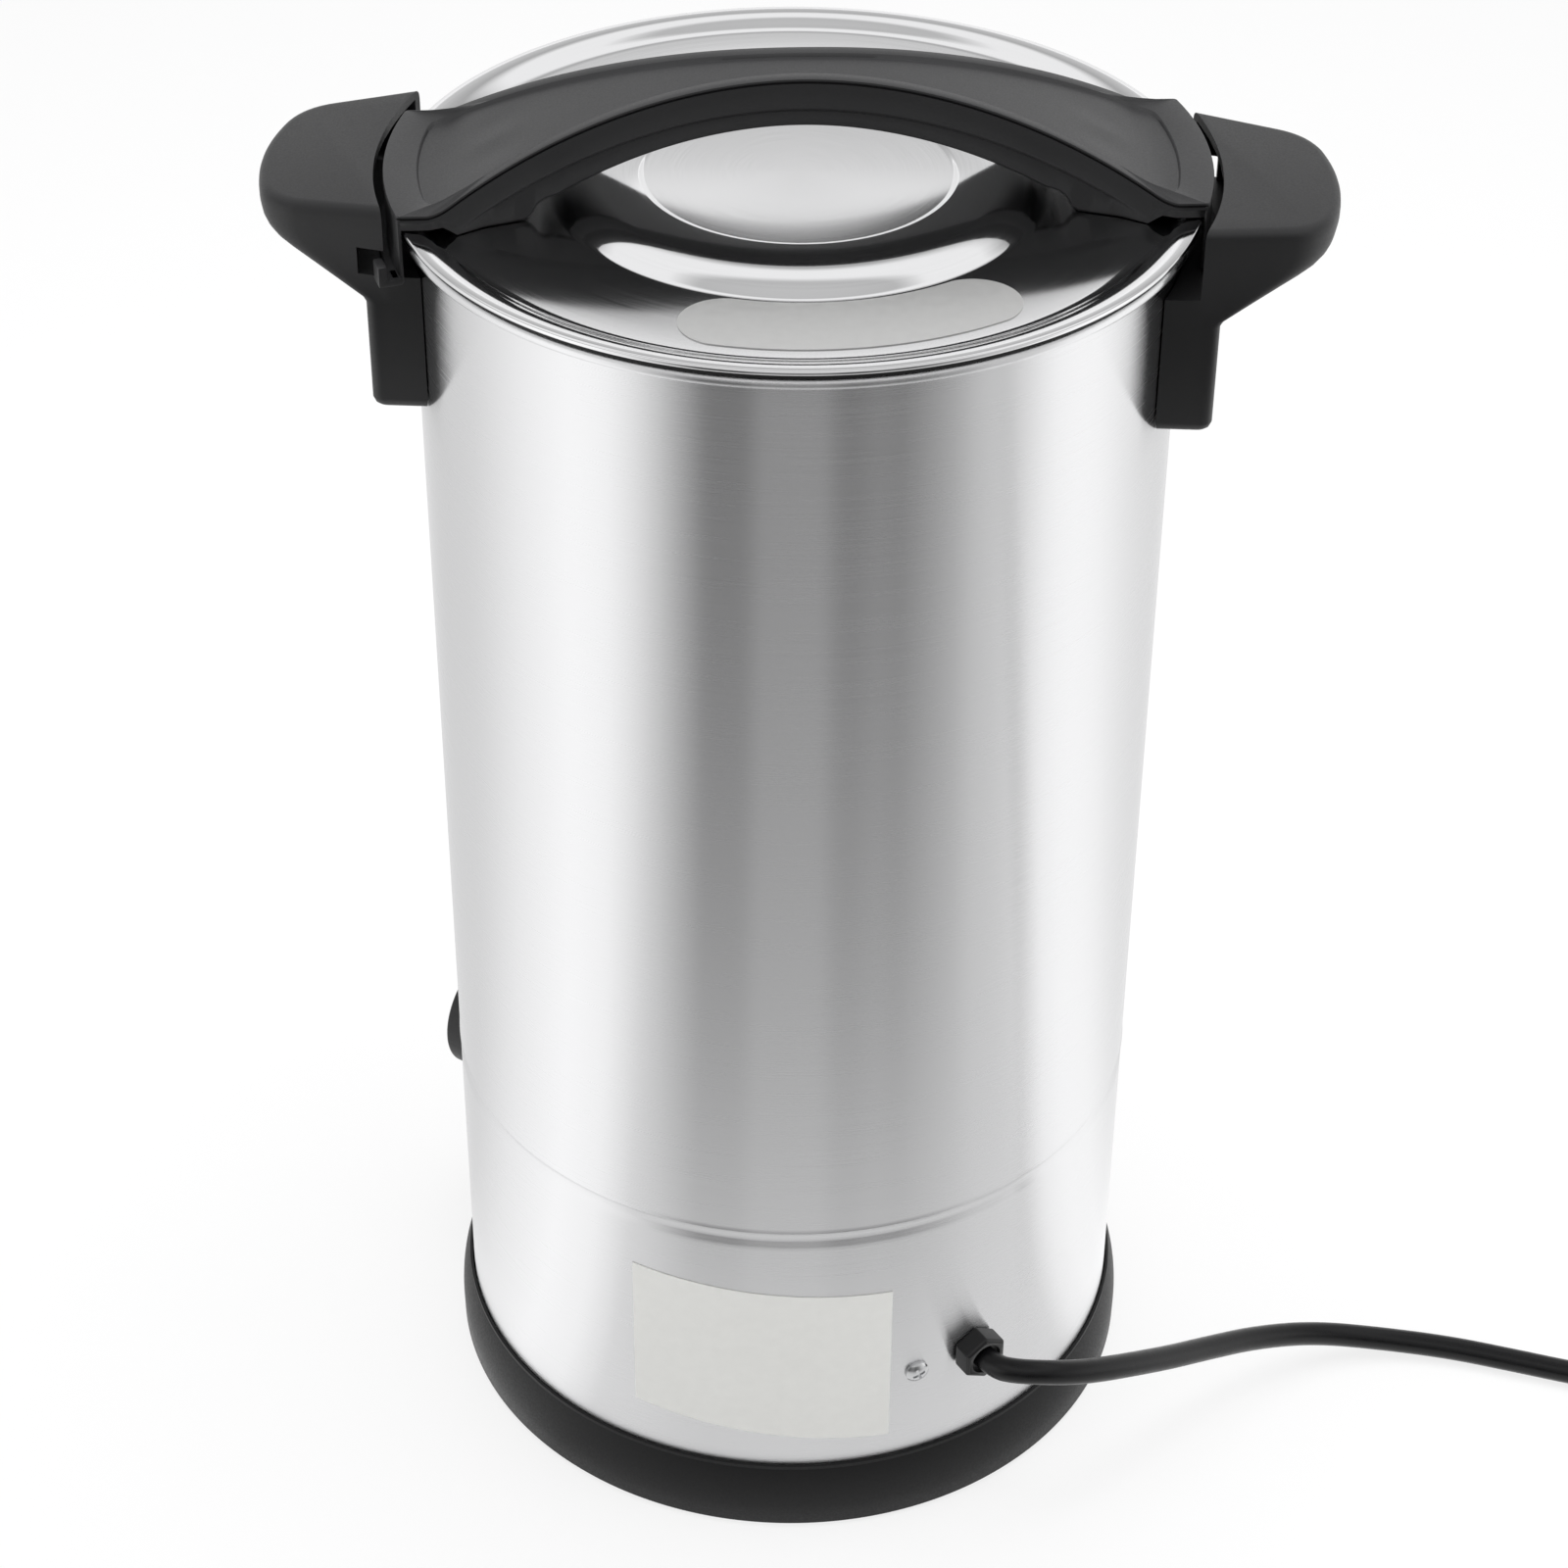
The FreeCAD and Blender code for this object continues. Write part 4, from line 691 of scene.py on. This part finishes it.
class MELTER_OT_stage(bpy.types.Operator):
    """Camera, floor, soft lights and a white background"""
    bl_idname = "melter.stage"
    bl_label = "Stage"

    def execute(self, context):
        context.scene.view_settings.view_transform = "Standard"
        make_camera()
        make_world()
        make_floor()
        middle = (0, 0, 0.25)
        make_light("softbox above", (0.1, 0.2, 1.6), middle, 1.2, 1.2, 22)
        make_light("softbox left", (-1.3, -0.5, 0.9), middle, 0.8, 1.2, 4)
        make_light("softbox right", (1.4, -0.3, 0.9), middle, 0.8, 1.2, 4)
        return {"FINISHED"}


# -------------------- cord
# The route from the gland to the coil, in metres, the same points as in the part's source.
CORD_ROUTE = (
    (0.0668, -0.09435, 0.0623), (0.0708, -0.1000, 0.0629), (0.0773, -0.1026, 0.0640),
    (0.0857, -0.1021, 0.0634), (0.0950, -0.0986, 0.0603), (0.1049, -0.0919, 0.0554),
    (0.1160, -0.0820, 0.0486), (0.1287, -0.0693, 0.0396), (0.1433, -0.0542, 0.0298),
    (0.1611, -0.0381, 0.0198), (0.1823, -0.0262, 0.0116), (0.2059, -0.0219, 0.0058),
    (0.2298, -0.0232, 0.0041), (0.2510, -0.0282, 0.0041), (0.2710, -0.0332, 0.0041),
    (0.2920, -0.0374, 0.0041), (0.3140, -0.0402, 0.0041),
)
COIL_CENTRE = (0.33481, -0.09165)
COIL_START = 87.5
COIL_TURNS = 4.25
POINTS_PER_TURN = 14


def coil_points():
    """The coil's turns: from the outside in on the floor, then back out on top of them."""
    outer, inner = 50.3 * MM, 41.5 * MM
    low, high = 4.2 * MM, 12.3 * MM
    half, crossing = COIL_TURNS / 2, 0.6
    points = []
    for index in range(int(COIL_TURNS * POINTS_PER_TURN) + 1):
        turned = index / POINTS_PER_TURN
        angle = math.radians(COIL_START - 360 * turned)
        share = min(turned, COIL_TURNS - turned) / half
        radius = outer + (inner - outer) * share ** 1.5
        climb = min(max((turned - half) / crossing + 0.5, 0), 1)
        height = low + (high - low) * climb * climb * (3 - 2 * climb)
        across, along = radius * math.cos(angle), radius * math.sin(angle)
        points.append((COIL_CENTRE[0] + across, COIL_CENTRE[1] + along, height))
    return points


class MELTER_OT_cord(bpy.types.Operator):
    """Mains cord, its put-away coil and its plug"""
    bl_idname = "melter.cord"
    bl_label = "Cord"

    def execute(self, context):
        sizes = context.scene.melter_sizes
        plug_low, plug_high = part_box("plug_body")
        plug_middle, plug_end = (plug_low[0] + plug_high[0]) / 2, plug_high[1]
        points = list(CORD_ROUTE) + coil_points()
        points.append((plug_middle, plug_end + 10 * MM, 15 * MM))
        points.append((plug_middle, plug_end - 2 * MM, 18.5 * MM))
        curve = bpy.data.curves.new("mains_cord_curve", "CURVE")
        curve.dimensions = "3D"
        curve.bevel_depth = sizes.cord_diameter / 2
        curve.bevel_resolution = 6
        curve.resolution_u = 8
        curve.use_fill_caps = True
        line = curve.splines.new("NURBS")
        line.points.add(len(points) - 1)
        for spot, point in zip(points, line.points):
            point.co = (*spot, 1.0)
        line.order_u = 3
        line.use_endpoint_u = True
        cord = new_object("mains_cord_sheath", curve)
        cord.visible_glossy = False  # the put-away coil would streak the brushed barrel
        stand_in(cord, "cord", "cord_sheath", "housing", "mains_cord", "cord_coil")
        plug = softened("plug_body", "moulded_plug", 0.8 * MM, "cord", "plug_plastic")
        dress("bright", "plug_pins")
        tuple(CORD_ROUTE[0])
        return {"FINISHED"}


# -------------------- barrel and base
class MELTER_OT_barrel(bpy.types.Operator):
    """Barrel with its rolled rim and pressed groove"""
    bl_idname = "melter.barrel"
    bl_label = "Barrel"

    def execute(self, context):
        sizes = context.scene.melter_sizes
        radius, wall = sizes.barrel_radius / MM, sizes.sheet / MM
        low, high = heights("barrel")
        # the groove: in from a soft lower edge, then out again to a small bead above it
        groove_low, groove_high, sunk, raised, soft = 120.4, 126.6, 0.58, 0.2, 0.07
        groove = [
            (radius, groove_low - 1.5), (radius, groove_low), (radius - soft, groove_low + 0.3),
            (radius - sunk + soft, groove_low + 2.3), (radius - sunk, groove_low + 2.6),
            (radius - sunk / 2, groove_high - 0.6), (radius + raised, groove_high),
            (radius, groove_high + 0.8), (radius, groove_high + 1.6)]
        # the rim: rolled outwards and down, so that the hem's end is hidden
        roll, overhang = 1.6, 2.6
        middle = (radius + overhang, high - roll)
        outline = [(radius, low)] + groove
        outline += arc((radius + wall, middle[1] - roll - wall), wall, 180, 90, 4)
        outline += arc(middle, roll, -90, 90, 12)
        outline += arc((middle[0], high - roll - wall), roll + wall, 90, 160, 6)
        outline += [(radius - wall, high - overhang - roll)]
        outline += [(x - wall, z) for x, z in reversed(groove)]
        outline += [(radius - wall, low)]
        barrel = lathe("brushed_barrel", outline, 384)
        stand_in(barrel, "barrel", "brushed_barrel", "housing", "barrel")
        dress("bright", "tank_bottom")
        dress("zinc", "handle_screws")
        return {"FINISHED"}


class MELTER_OT_base(bpy.types.Operator):
    """Moulded base ring, bottom cover, feet and what is on the tie rod"""
    bl_idname = "melter.base"
    bl_label = "Base"

    def execute(self, context):
        low, high = heights("base_ring")
        outer = half_width("base_ring")
        seat = context.scene.melter_sizes.barrel_radius / MM + 0.4
        swell, widest, shoulder = 36, high - 17, 24.6
        ledge_radius, ledge_low, ledge_high, shell = 98, 5, 8, 5.5
        outline = [(outer - shell, low), (outer, low), (outer + 0.7, low + 1)]
        outline += arc((outer + 0.8 - swell, widest), swell, 0, shoulder, 10)
        outline += [(outer - 3, high - 1.3), (seat + 1, high - 1.4), (seat + 0.9, high - 5), (seat, high - 5)]
        outline += [(seat, ledge_high), (ledge_radius, ledge_high), (ledge_radius, ledge_low)]
        outline += [(outer - shell, ledge_low)]
        ring = lathe("moulded_base_ring", outline)
        stand_in(ring, "base", "base_plastic", "housing", "base_ring")
        dress("zinc", "bottom_cover", "tie_washer", "tie_nut", "tie_rod", "plate_nut")
        dress("rubber", "rubber_feet")
        return {"FINISHED"}


class MELTER_OT_heater(bpy.types.Operator):
    """Heating plate, element and the electrical parts inside"""
    bl_idname = "melter.heater"
    bl_label = "Heater"

    def execute(self, context):
        dress("aluminium", "heating_plate")
        dress("sheath", "heating_element")
        dress("bakelite", "thermal_cutout")
        dress("polyamide", "terminal_block", "thermostat_body", "lamp_holders")
        return {"FINISHED"}


# -------------------- rear, controls and tap
class MELTER_OT_rear(bpy.types.Operator):
    """Gland, earth screw and the blank rating sticker"""
    bl_idname = "melter.rear"
    bl_label = "Rear"

    def execute(self, context):
        softened("cord_gland", "moulded_gland", 0.5 * MM, "nylon", "gland_nylon")
        dress("nylon", "gland_nut")
        dress("bright", "earth_screw")
        dress("zinc", "earth_nut")
        dress("film", "rating_sticker")
        return {"FINISHED"}


class MELTER_OT_controls(bpy.types.Operator):
    """Thermostat knob, rocker switch and pilot lamps"""
    bl_idname = "melter.controls"
    bl_label = "Controls"

    def execute(self, context):
        softened("thermostat_knob", "moulded_knob", 0.6 * MM, "handle", "knob_plastic")
        dress("zinc", "thermostat_shaft", "thermostat_screws")
        dress("scale", "dial_scale")
        softened("switch_housing", "moulded_switch", 0.4 * MM, "nylon", "switch_plastic")
        softened("switch_rocker", "moulded_rocker", 0.5 * MM, "rocker", "rocker_plastic")
        dress("amber", "lamp_lens_amber")
        dress("green", "lamp_lens_green")
        return {"FINISHED"}


class MELTER_OT_tap(bpy.types.Operator):
    """Ball tap with its lever and spout"""
    bl_idname = "melter.tap"
    bl_label = "Tap"

    def execute(self, context):
        for node in ("tap_shank", "tap_nut", "valve_body", "spout", "packing_nut"):
            softened(node, "polished_" + node, 0.5 * MM, "bright", "tap_steel")
        softened("tap_lever", "stamped_lever", 0.4 * MM, "bright", "lever_steel")
        softened("lever_sleeve", "dipped_sleeve", 0.5 * MM, "vinyl", "sleeve_vinyl")
        dress("silicone", "tap_washers")
        dress("ptfe", "ball_seats")
        dress("bright", "valve_ball", "valve_stem")
        dress("zinc", "lever_nut")
        return {"FINISHED"}


# -------------------- handles and lid
# Sizes of a side handle in mm.  Seen from the melter's middle line it starts inside the barrel, its
# flanks close in from the knee, and its column and its grip end at their reach.
INNER_END, KNEE = 100, 112
COLUMN_REACH, GRIP_REACH = 119, 152.6
HALF_WIDTH = 39.5
MOUTH_RADIUS = 119.5
# Its plan at each height over its foot: height, how far out, inset all round.
COLUMN_LEVELS = ((0, COLUMN_REACH, 2.6), (0.5, COLUMN_REACH, 1.4), (1.4, COLUMN_REACH, 0.6),
                 (3.2, COLUMN_REACH, 0), (33.5, COLUMN_REACH, 0), (35, 120.3, 0), (39, 129.3, 0),
                 (43, 138.3, 0), (46, 145, 0), (48, 148.8, 0), (50, 151, 0), (52, 152.1, 0),
                 (54.5, GRIP_REACH, 0))
# Its rounded upper edge: depth below the sloping top face, inset.
GRIP_EDGE = ((3.4, 0), (2.0, 0.15), (1.1, 0.5), (0.45, 1.15), (0.1, 1.9), (0, 2.7))


def grip_plan(reach, inset, height):
    """One level of the handle on +X, whose outer end narrows and bows more the further out it is."""
    spread = max(0, (reach - COLUMN_REACH) / (GRIP_REACH - COLUMN_REACH))
    bow, turn, taper = 6.5 * spread, 3 + 5.5 * spread, 8.5 * spread
    width = HALF_WIDTH - taper - inset
    knee = Vector((KNEE, HALF_WIDTH - inset))
    corner = Vector((reach - inset - bow, width))
    before = corner - (corner - knee).normalized() * turn

    def nose(across):
        return Vector((reach - inset - bow * (across / width) ** 2, across))

    after = nose(width - turn)
    half = [Vector((INNER_END, HALF_WIDTH - inset))]
    half += [knee.lerp(before, step / 5) for step in range(5)]
    half += [before.lerp(corner, step / 8).lerp(corner.lerp(after, step / 8), step / 8) for step in range(9)]
    half += [nose(after[1] * (1 - step / 8)) for step in range(1, 9)]
    whole = half + [Vector((x, -y)) for x, y in reversed(half[:-1])]
    return [(x, y, height(x)) for x, y in whole]


def stacked(name, levels):
    """A closed skin over levels of points in mm, the lowest and the highest of them flat."""
    shape = bmesh.new()
    rings = [[shape.verts.new(Vector(spot) * MM) for spot in level] for level in levels]
    join_rings(shape, rings)
    shape.faces.new(rings[0])
    shape.faces.new(rings[-1])
    return new_object(name, mesh_of(shape, name))


def cut(made, *cutters):
    """Take each cutter's shape out of a piece."""
    for cutter in cutters:
        taken = made.modifiers.new("Cut", "BOOLEAN")
        taken.operation = "DIFFERENCE"
        taken.solver = "EXACT"
        taken.object = cutter
        apply(made, taken)
        bpy.data.objects.remove(cutter)


class MELTER_OT_side_handles(bpy.types.Operator):
    """The two moulded side handles"""
    bl_idname = "melter.side_handles"
    bl_label = "Side handles"

    def execute(self, context):
        low, high = heights("side_handle_right")
        ledge, shell, below, above = low + 42, 2.5, low - 5, high + 5
        top_run = 14  # how far out the top face goes while it falls 1 mm
        barrel = context.scene.melter_sizes.barrel_radius / MM + 0.3

        def level(up):
            return lambda x: low + up

        def under_top(depth):
            return lambda x: high - (x - KNEE) / top_run - depth

        outside = [grip_plan(reach, inset, level(up)) for up, reach, inset in COLUMN_LEVELS]
        outside += [grip_plan(GRIP_REACH, inset, under_top(depth)) for depth, inset in GRIP_EDGE]
        hollow = [grip_plan(128, shell, level(42)), grip_plan(146.5, shell, level(50)),
                  grip_plan(148, shell, under_top(shell))]
        # the slot that the arch's lug turns into
        slot_plan, slot_height = ((99, 33), (120.7, 33), (120.7, 48), (99, 48)), 7.9
        slot = [[(x, y, ledge + up) for x, y in slot_plan] for up in (0, slot_height)]
        right = stacked("moulded_side_handle_right", outside)
        cut(right,
            lathe("barrel space", [(0, below), (barrel, below), (barrel, above), (0, above)]),
            lathe("mouth", [(0, ledge), (MOUTH_RADIUS, ledge), (MOUTH_RADIUS, above), (0, above)]),
            stacked("hollow", hollow), stacked("slot", slot))
        smooth(right.data, 35)
        left = new_object("moulded_side_handle_left", right.data.copy())
        left.data.transform(Matrix.Rotation(math.pi, 4, "Z"))
        for handle, node in ((right, "side_handle_right"), (left, "side_handle_left")):
            stand_in(handle, "handle", "handle_plastic", "housing", node)
        return {"FINISHED"}


class MELTER_OT_lid(bpy.types.Operator):
    """Spun lid, its silicone seal and the clear sticker"""
    bl_idname = "melter.lid"
    bl_label = "Lid"

    def execute(self, context):
        wall = context.scene.melter_sizes.sheet / MM
        level = heights("lid_sticker")[0] - 0.025
        reach = half_width("lid")
        # from the middle out: the flat disc, a step up, the dome's edge, a fillet, the flat, the brim
        disc_up, step_up, crest_up, brim_up = 3.2, 3.8, 4, 3.1
        crest, dome, trough, fillet, brim_start = 57.5, 22, 71.4, 4, 101.8
        upper = [(0, level + disc_up)]
        upper += ogee((LID_DISC, level + disc_up), (LID_DISC + 2, level + step_up), 0.5, 6)
        upper += arc((crest, level + crest_up - dome), dome, 90, 60, 14)
        upper += arc((trough, level + fillet), fillet, 240, 270, 6)
        upper += ogee((brim_start, level), (reach - 2.5, level + brim_up), 0.4)
        lower = [(x, z - wall) for x, z in reversed(upper)]
        roll = arc((reach - 0.8, level + 2.4), 0.8, 90, -90, 8)
        lid = lathe("spun_lid", upper + roll + lower, 384)
        stand_in(lid, "lid", "spun_lid", "lid", "lid")
        dress("silicone", "lid_seal")
        dress("clear", "lid_sticker")
        dress("zinc", "lid_screws")
        return {"FINISHED"}


# The lid handle is drawn along its own length, in mm from the melter's middle line and down from
# its crown, then turned about Z to where it sits.
ARCH_TURN = math.radians(5.7)
ARCH_REACH = 117
# Its top: one long arc, a fillet, then level ears.
CROWN_RADIUS, CROWN_END = 193, 97.5
FILLET, EAR_START, EAR_DROP = 12, 103.6, 28.1
# Its underside: an arc between the feet, a quick curve down, then flat on the lid and over its brim.
BELLY_RADIUS, BELLY_DROP, BELLY_END = 163, 15, 68
HEEL, HEEL_RISE, FOOT_DROP = 7.5, 6.2, 36
BRIM_START, BRIM_WIDTH, BRIM_RISE = 100.5, 3, 3.3
# Half its width: a waist, then flanks that flare and curve out; the insets change near the ears.
WAIST, WAIST_TURN, FLARE, CURVE = 11.1, 12, 0.039, 0.00183
INSET_START, INSET_END = 88, 98
# Where the thumbs' dips in its top are, how wide they spread and how deep they are.
DIP_ALONG, DIP_ACROSS, DIP_SPREAD, DIP_DEPTH = 86, 9, 5, 0.4
# Faces in a row across its top and its underside.
ROW_STEPS = 24
# Its skin, ring by ring from the foot's edge up and over to the sunken panel on top: inset of the
# long side in the middle and at the ears, inset of the end, least height over the underside, depth
# below the top.  A depth of 99 is never reached, so the ring stays at its least height.
ARCH_RINGS = (
    (3.2, 0.9, 0.9, 0.0, 99), (2.2, 0.7, 0.7, 1.0, 99), (2.0, 0.6, 0.6, 1.3, 10.3), (0.9, 0.5, 0.5, 2.2, 9.3),
    (0.2, 0.2, 0.2, 2.6, 8.2), (0.35, 0.35, 0.35, 3, 1.4), (1.1, 1.1, 1.1, 3, 1.2), (1.1, 1.1, 1.1, 3, 0.75),
    (0.25, 0.25, 0.25, 3, 0.55), (0.4, 0.4, 0.4, 3, 0.1), (0.8, 0.8, 0.8, 3, 0), (4.4, 4.4, 9.5, 3, 0),
    (4.6, 4.6, 9.7, 3, 0.1), (5.1, 5.1, 10.2, 3, 1.0), (5.4, 5.4, 10.5, 3, 1.1),
)


def arch_crown(along):
    """The height of the arch's top below its crown, as a negative value."""
    along = abs(along)
    if along < CROWN_END:
        return math.sqrt(CROWN_RADIUS ** 2 - along ** 2) - CROWN_RADIUS
    if along < EAR_START:
        return FILLET - EAR_DROP - math.sqrt(FILLET ** 2 - (EAR_START - along) ** 2)
    return -EAR_DROP


def arch_belly(along, across):
    """The height of its underside below its crown, as a negative value."""
    over_brim = min(max((math.hypot(along, across) - BRIM_START) / BRIM_WIDTH, 0), 1)
    along = abs(along)
    if along < BELLY_END:
        return math.sqrt(BELLY_RADIUS ** 2 - along ** 2) - BELLY_RADIUS - BELLY_DROP
    if along < BELLY_END + HEEL:
        return -FOOT_DROP + HEEL_RISE * math.sqrt(1 - ((along - BELLY_END) / HEEL) ** 2)
    return -FOOT_DROP + BRIM_RISE * over_brim


def arch_side(along, middle, ears):
    """Half the arch's width, less the insets at its middle and at its ears."""
    along = abs(along)
    middle_share = min(max((INSET_END - along) / (INSET_END - INSET_START), 0), 1)
    held = min(along, EAR_START - 0.6)
    half = WAIST + FLARE * (math.hypot(held, WAIST_TURN) - WAIST_TURN) + CURVE * held ** 2
    return half - ears - (middle - ears) * middle_share


def arch_edge(ring):
    """Half of a ring, (along, across): from the tip of one ear by the long side to the other tip."""
    middle, ears, end = ring[:3]
    corner = 7 if end > 5 else 1  # rounder on the sunken panel

    def side(along):
        return arch_side(along, middle, ears)

    # where the long side meets the arc at the ear's end, found by closing in on it
    reach = ARCH_REACH - end
    meet = reach
    for attempt in range(20):
        meet = math.sqrt(reach ** 2 - side(meet) ** 2)
    swing = math.atan2(side(meet), meet) - corner / reach
    start = meet - corner
    points = [(reach * math.cos(swing * step / 8), reach * math.sin(swing * step / 8)) for step in range(8)]
    first = (reach * math.cos(swing), reach * math.sin(swing))
    spots = (first, (meet, side(meet)), (start, side(start)))
    for step in range(7):
        share = step / 6
        weights = ((1 - share) ** 2, 2 * share * (1 - share), share ** 2)
        points.append([sum(weight * spot[axis] for weight, spot in zip(weights, spots)) for axis in (0, 1)])
    points += [(start * (1 - step / 60), side(start * (1 - step / 60))) for step in range(1, 60)]
    return points + [(0, side(0))] + [(-along, across) for along, across in reversed(points)]


def panel_height(along, across):
    """The sunken panel on top of the arch, with a thumb's dip near each of its corners."""
    away = (abs(along) - DIP_ALONG) ** 2 + (abs(across) - DIP_ACROSS) ** 2
    dip = DIP_DEPTH * math.exp(-away / (2 * DIP_SPREAD ** 2))
    return arch_crown(along) - ARCH_RINGS[-1][4] - dip


def fill_across(shape, point, ring, half, height_at):
    """Close a ring with rows of faces from one long side to the other; point makes a vertex."""
    rows = []
    for index, (along, across) in enumerate(half):
        if index in (0, len(half) - 1):
            rows.append([ring[index]] * (ROW_STEPS + 1))
            continue
        row = [ring[index]]
        for step in range(1, ROW_STEPS):
            side = across * (1 - 2 * step / ROW_STEPS)
            row.append(point(along, side, height_at(along, side)))
        rows.append(row + [ring[-index]])
    for row, following in zip(rows, rows[1:]):
        for step in range(ROW_STEPS):
            corners = (row[step], row[step + 1], following[step + 1], following[step])
            shape.faces.new(list(dict.fromkeys(corners)))


def arch_skin(shape):
    """The arch itself: rings up its sides, filled across below and on top."""
    crown = heights("lid_handle")[1]
    turn = Matrix.Rotation(ARCH_TURN, 4, "Z")

    def point(along, across, height):
        return shape.verts.new(turn @ Vector((along * MM, across * MM, (crown + height) * MM)))

    rings = []
    for ring in ARCH_RINGS:
        least, depth = ring[3:]
        half = arch_edge(ring)
        whole = half + [(along, -across) for along, across in reversed(half[1:-1])]
        rings.append([point(along, across, max(arch_belly(along, across) + least, arch_crown(along) - depth))
                      for along, across in whole])
    join_rings(shape, rings)
    fill_across(shape, point, rings[0], arch_edge(ARCH_RINGS[0]), arch_belly)
    fill_across(shape, point, rings[-1], arch_edge(ARCH_RINGS[-1]), panel_height)


def sector(shape, outline, start, end, steps):
    """A closed outline of (radius, height) in mm swept about Z between two bearings in degrees."""
    rows = []
    for step in range(steps + 1):
        angle = math.radians(start + (end - start) * step / steps) + ARCH_TURN
        rows.append([shape.verts.new(around(radius, angle, height)) for radius, height in outline])
    join_rings(shape, rows)
    shape.faces.new(rows[0])
    shape.faces.new(rows[-1])


class MELTER_OT_lid_handle(bpy.types.Operator):
    """The arched handle on the lid, with the aprons and lugs that lock it to the side handles"""
    bl_idname = "melter.lid_handle"
    bl_label = "Lid handle"

    def execute(self, context):
        low = heights("lid_handle")[0]
        # an apron with a lip at its foot and a lug with a hook, as radius and height
        floor, apron_top, hook_top = low + 2, low + 19.5, low + 6.2
        apron = ((115.5, low), (119, low), (119, floor), (116.6, floor), (116.6, apron_top),
                 (115.5, apron_top))
        lug = ((116, low), (122.9, low), (122.9, hook_top), (120.3, hook_top), (120.3, floor),
               (116, floor))
        apron_half, lug_start, lug_end = 16.9, 14.3, 17.3
        shape = bmesh.new()
        for half_turn in (0, 180):
            sector(shape, apron, half_turn - apron_half, half_turn + apron_half, 24)
            sector(shape, lug, half_turn + lug_start, half_turn + lug_end, 3)
        mesh = mesh_of(shape, "moulded_arch")
        handle = new_object("moulded_arch", mesh)
        round_edges(handle, 0.45 * MM, 2)
        shape = bmesh.new()
        arch_skin(shape)
        bmesh.ops.recalc_face_normals(shape, faces=shape.faces)
        shape.from_mesh(mesh)
        shape.to_mesh(mesh)
        shape.free()
        smooth(mesh, 42)
        stand_in(handle, "arch", "lid_handle_plastic", "lid", "lid_handle")
        return {"FINISHED"}


# -------------------- panel and registration
OPERATORS = (MELTER_OT_stage, MELTER_OT_cord, MELTER_OT_barrel, MELTER_OT_base, MELTER_OT_heater,
             MELTER_OT_rear, MELTER_OT_controls, MELTER_OT_tap, MELTER_OT_side_handles, MELTER_OT_lid,
             MELTER_OT_lid_handle)


class MELTER_PT_panel(bpy.types.Panel):
    """The melter's pieces, in the sidebar"""
    bl_idname = "MELTER_PT_panel"
    bl_label = "Wax melter"
    bl_space_type = "VIEW_3D"
    bl_region_type = "UI"
    bl_category = "Wax melter"

    def draw(self, context):
        for group in (context.scene.melter_sizes, context.scene.melter_colours):
            for name in group.bl_rna.properties.keys():
                if name not in ("rna_type", "name"):
                    self.layout.prop(group, name)
        for operator in OPERATORS:
            self.layout.operator(operator.bl_idname)


CLASSES = (MelterSizes, MelterColours) + OPERATORS + (MELTER_PT_panel,)


def register():
    """Add the classes and the two groups of settings."""
    for cls in CLASSES:
        bpy.utils.register_class(cls)
    bpy.types.Scene.melter_sizes = bpy.props.PointerProperty(type=MelterSizes)
    bpy.types.Scene.melter_colours = bpy.props.PointerProperty(type=MelterColours)


def unregister():
    """Take away what register added."""
    del bpy.types.Scene.melter_colours
    del bpy.types.Scene.melter_sizes
    for cls in reversed(CLASSES):
        bpy.utils.unregister_class(cls)


def main():
    """Build every piece in order."""
    register()
    MATERIALS.update(make_materials())
    for operator in OPERATORS:
        group, name = operator.bl_idname.split(".")
        getattr(getattr(bpy.ops, group), name)()


if __name__ == "__main__":
    main()
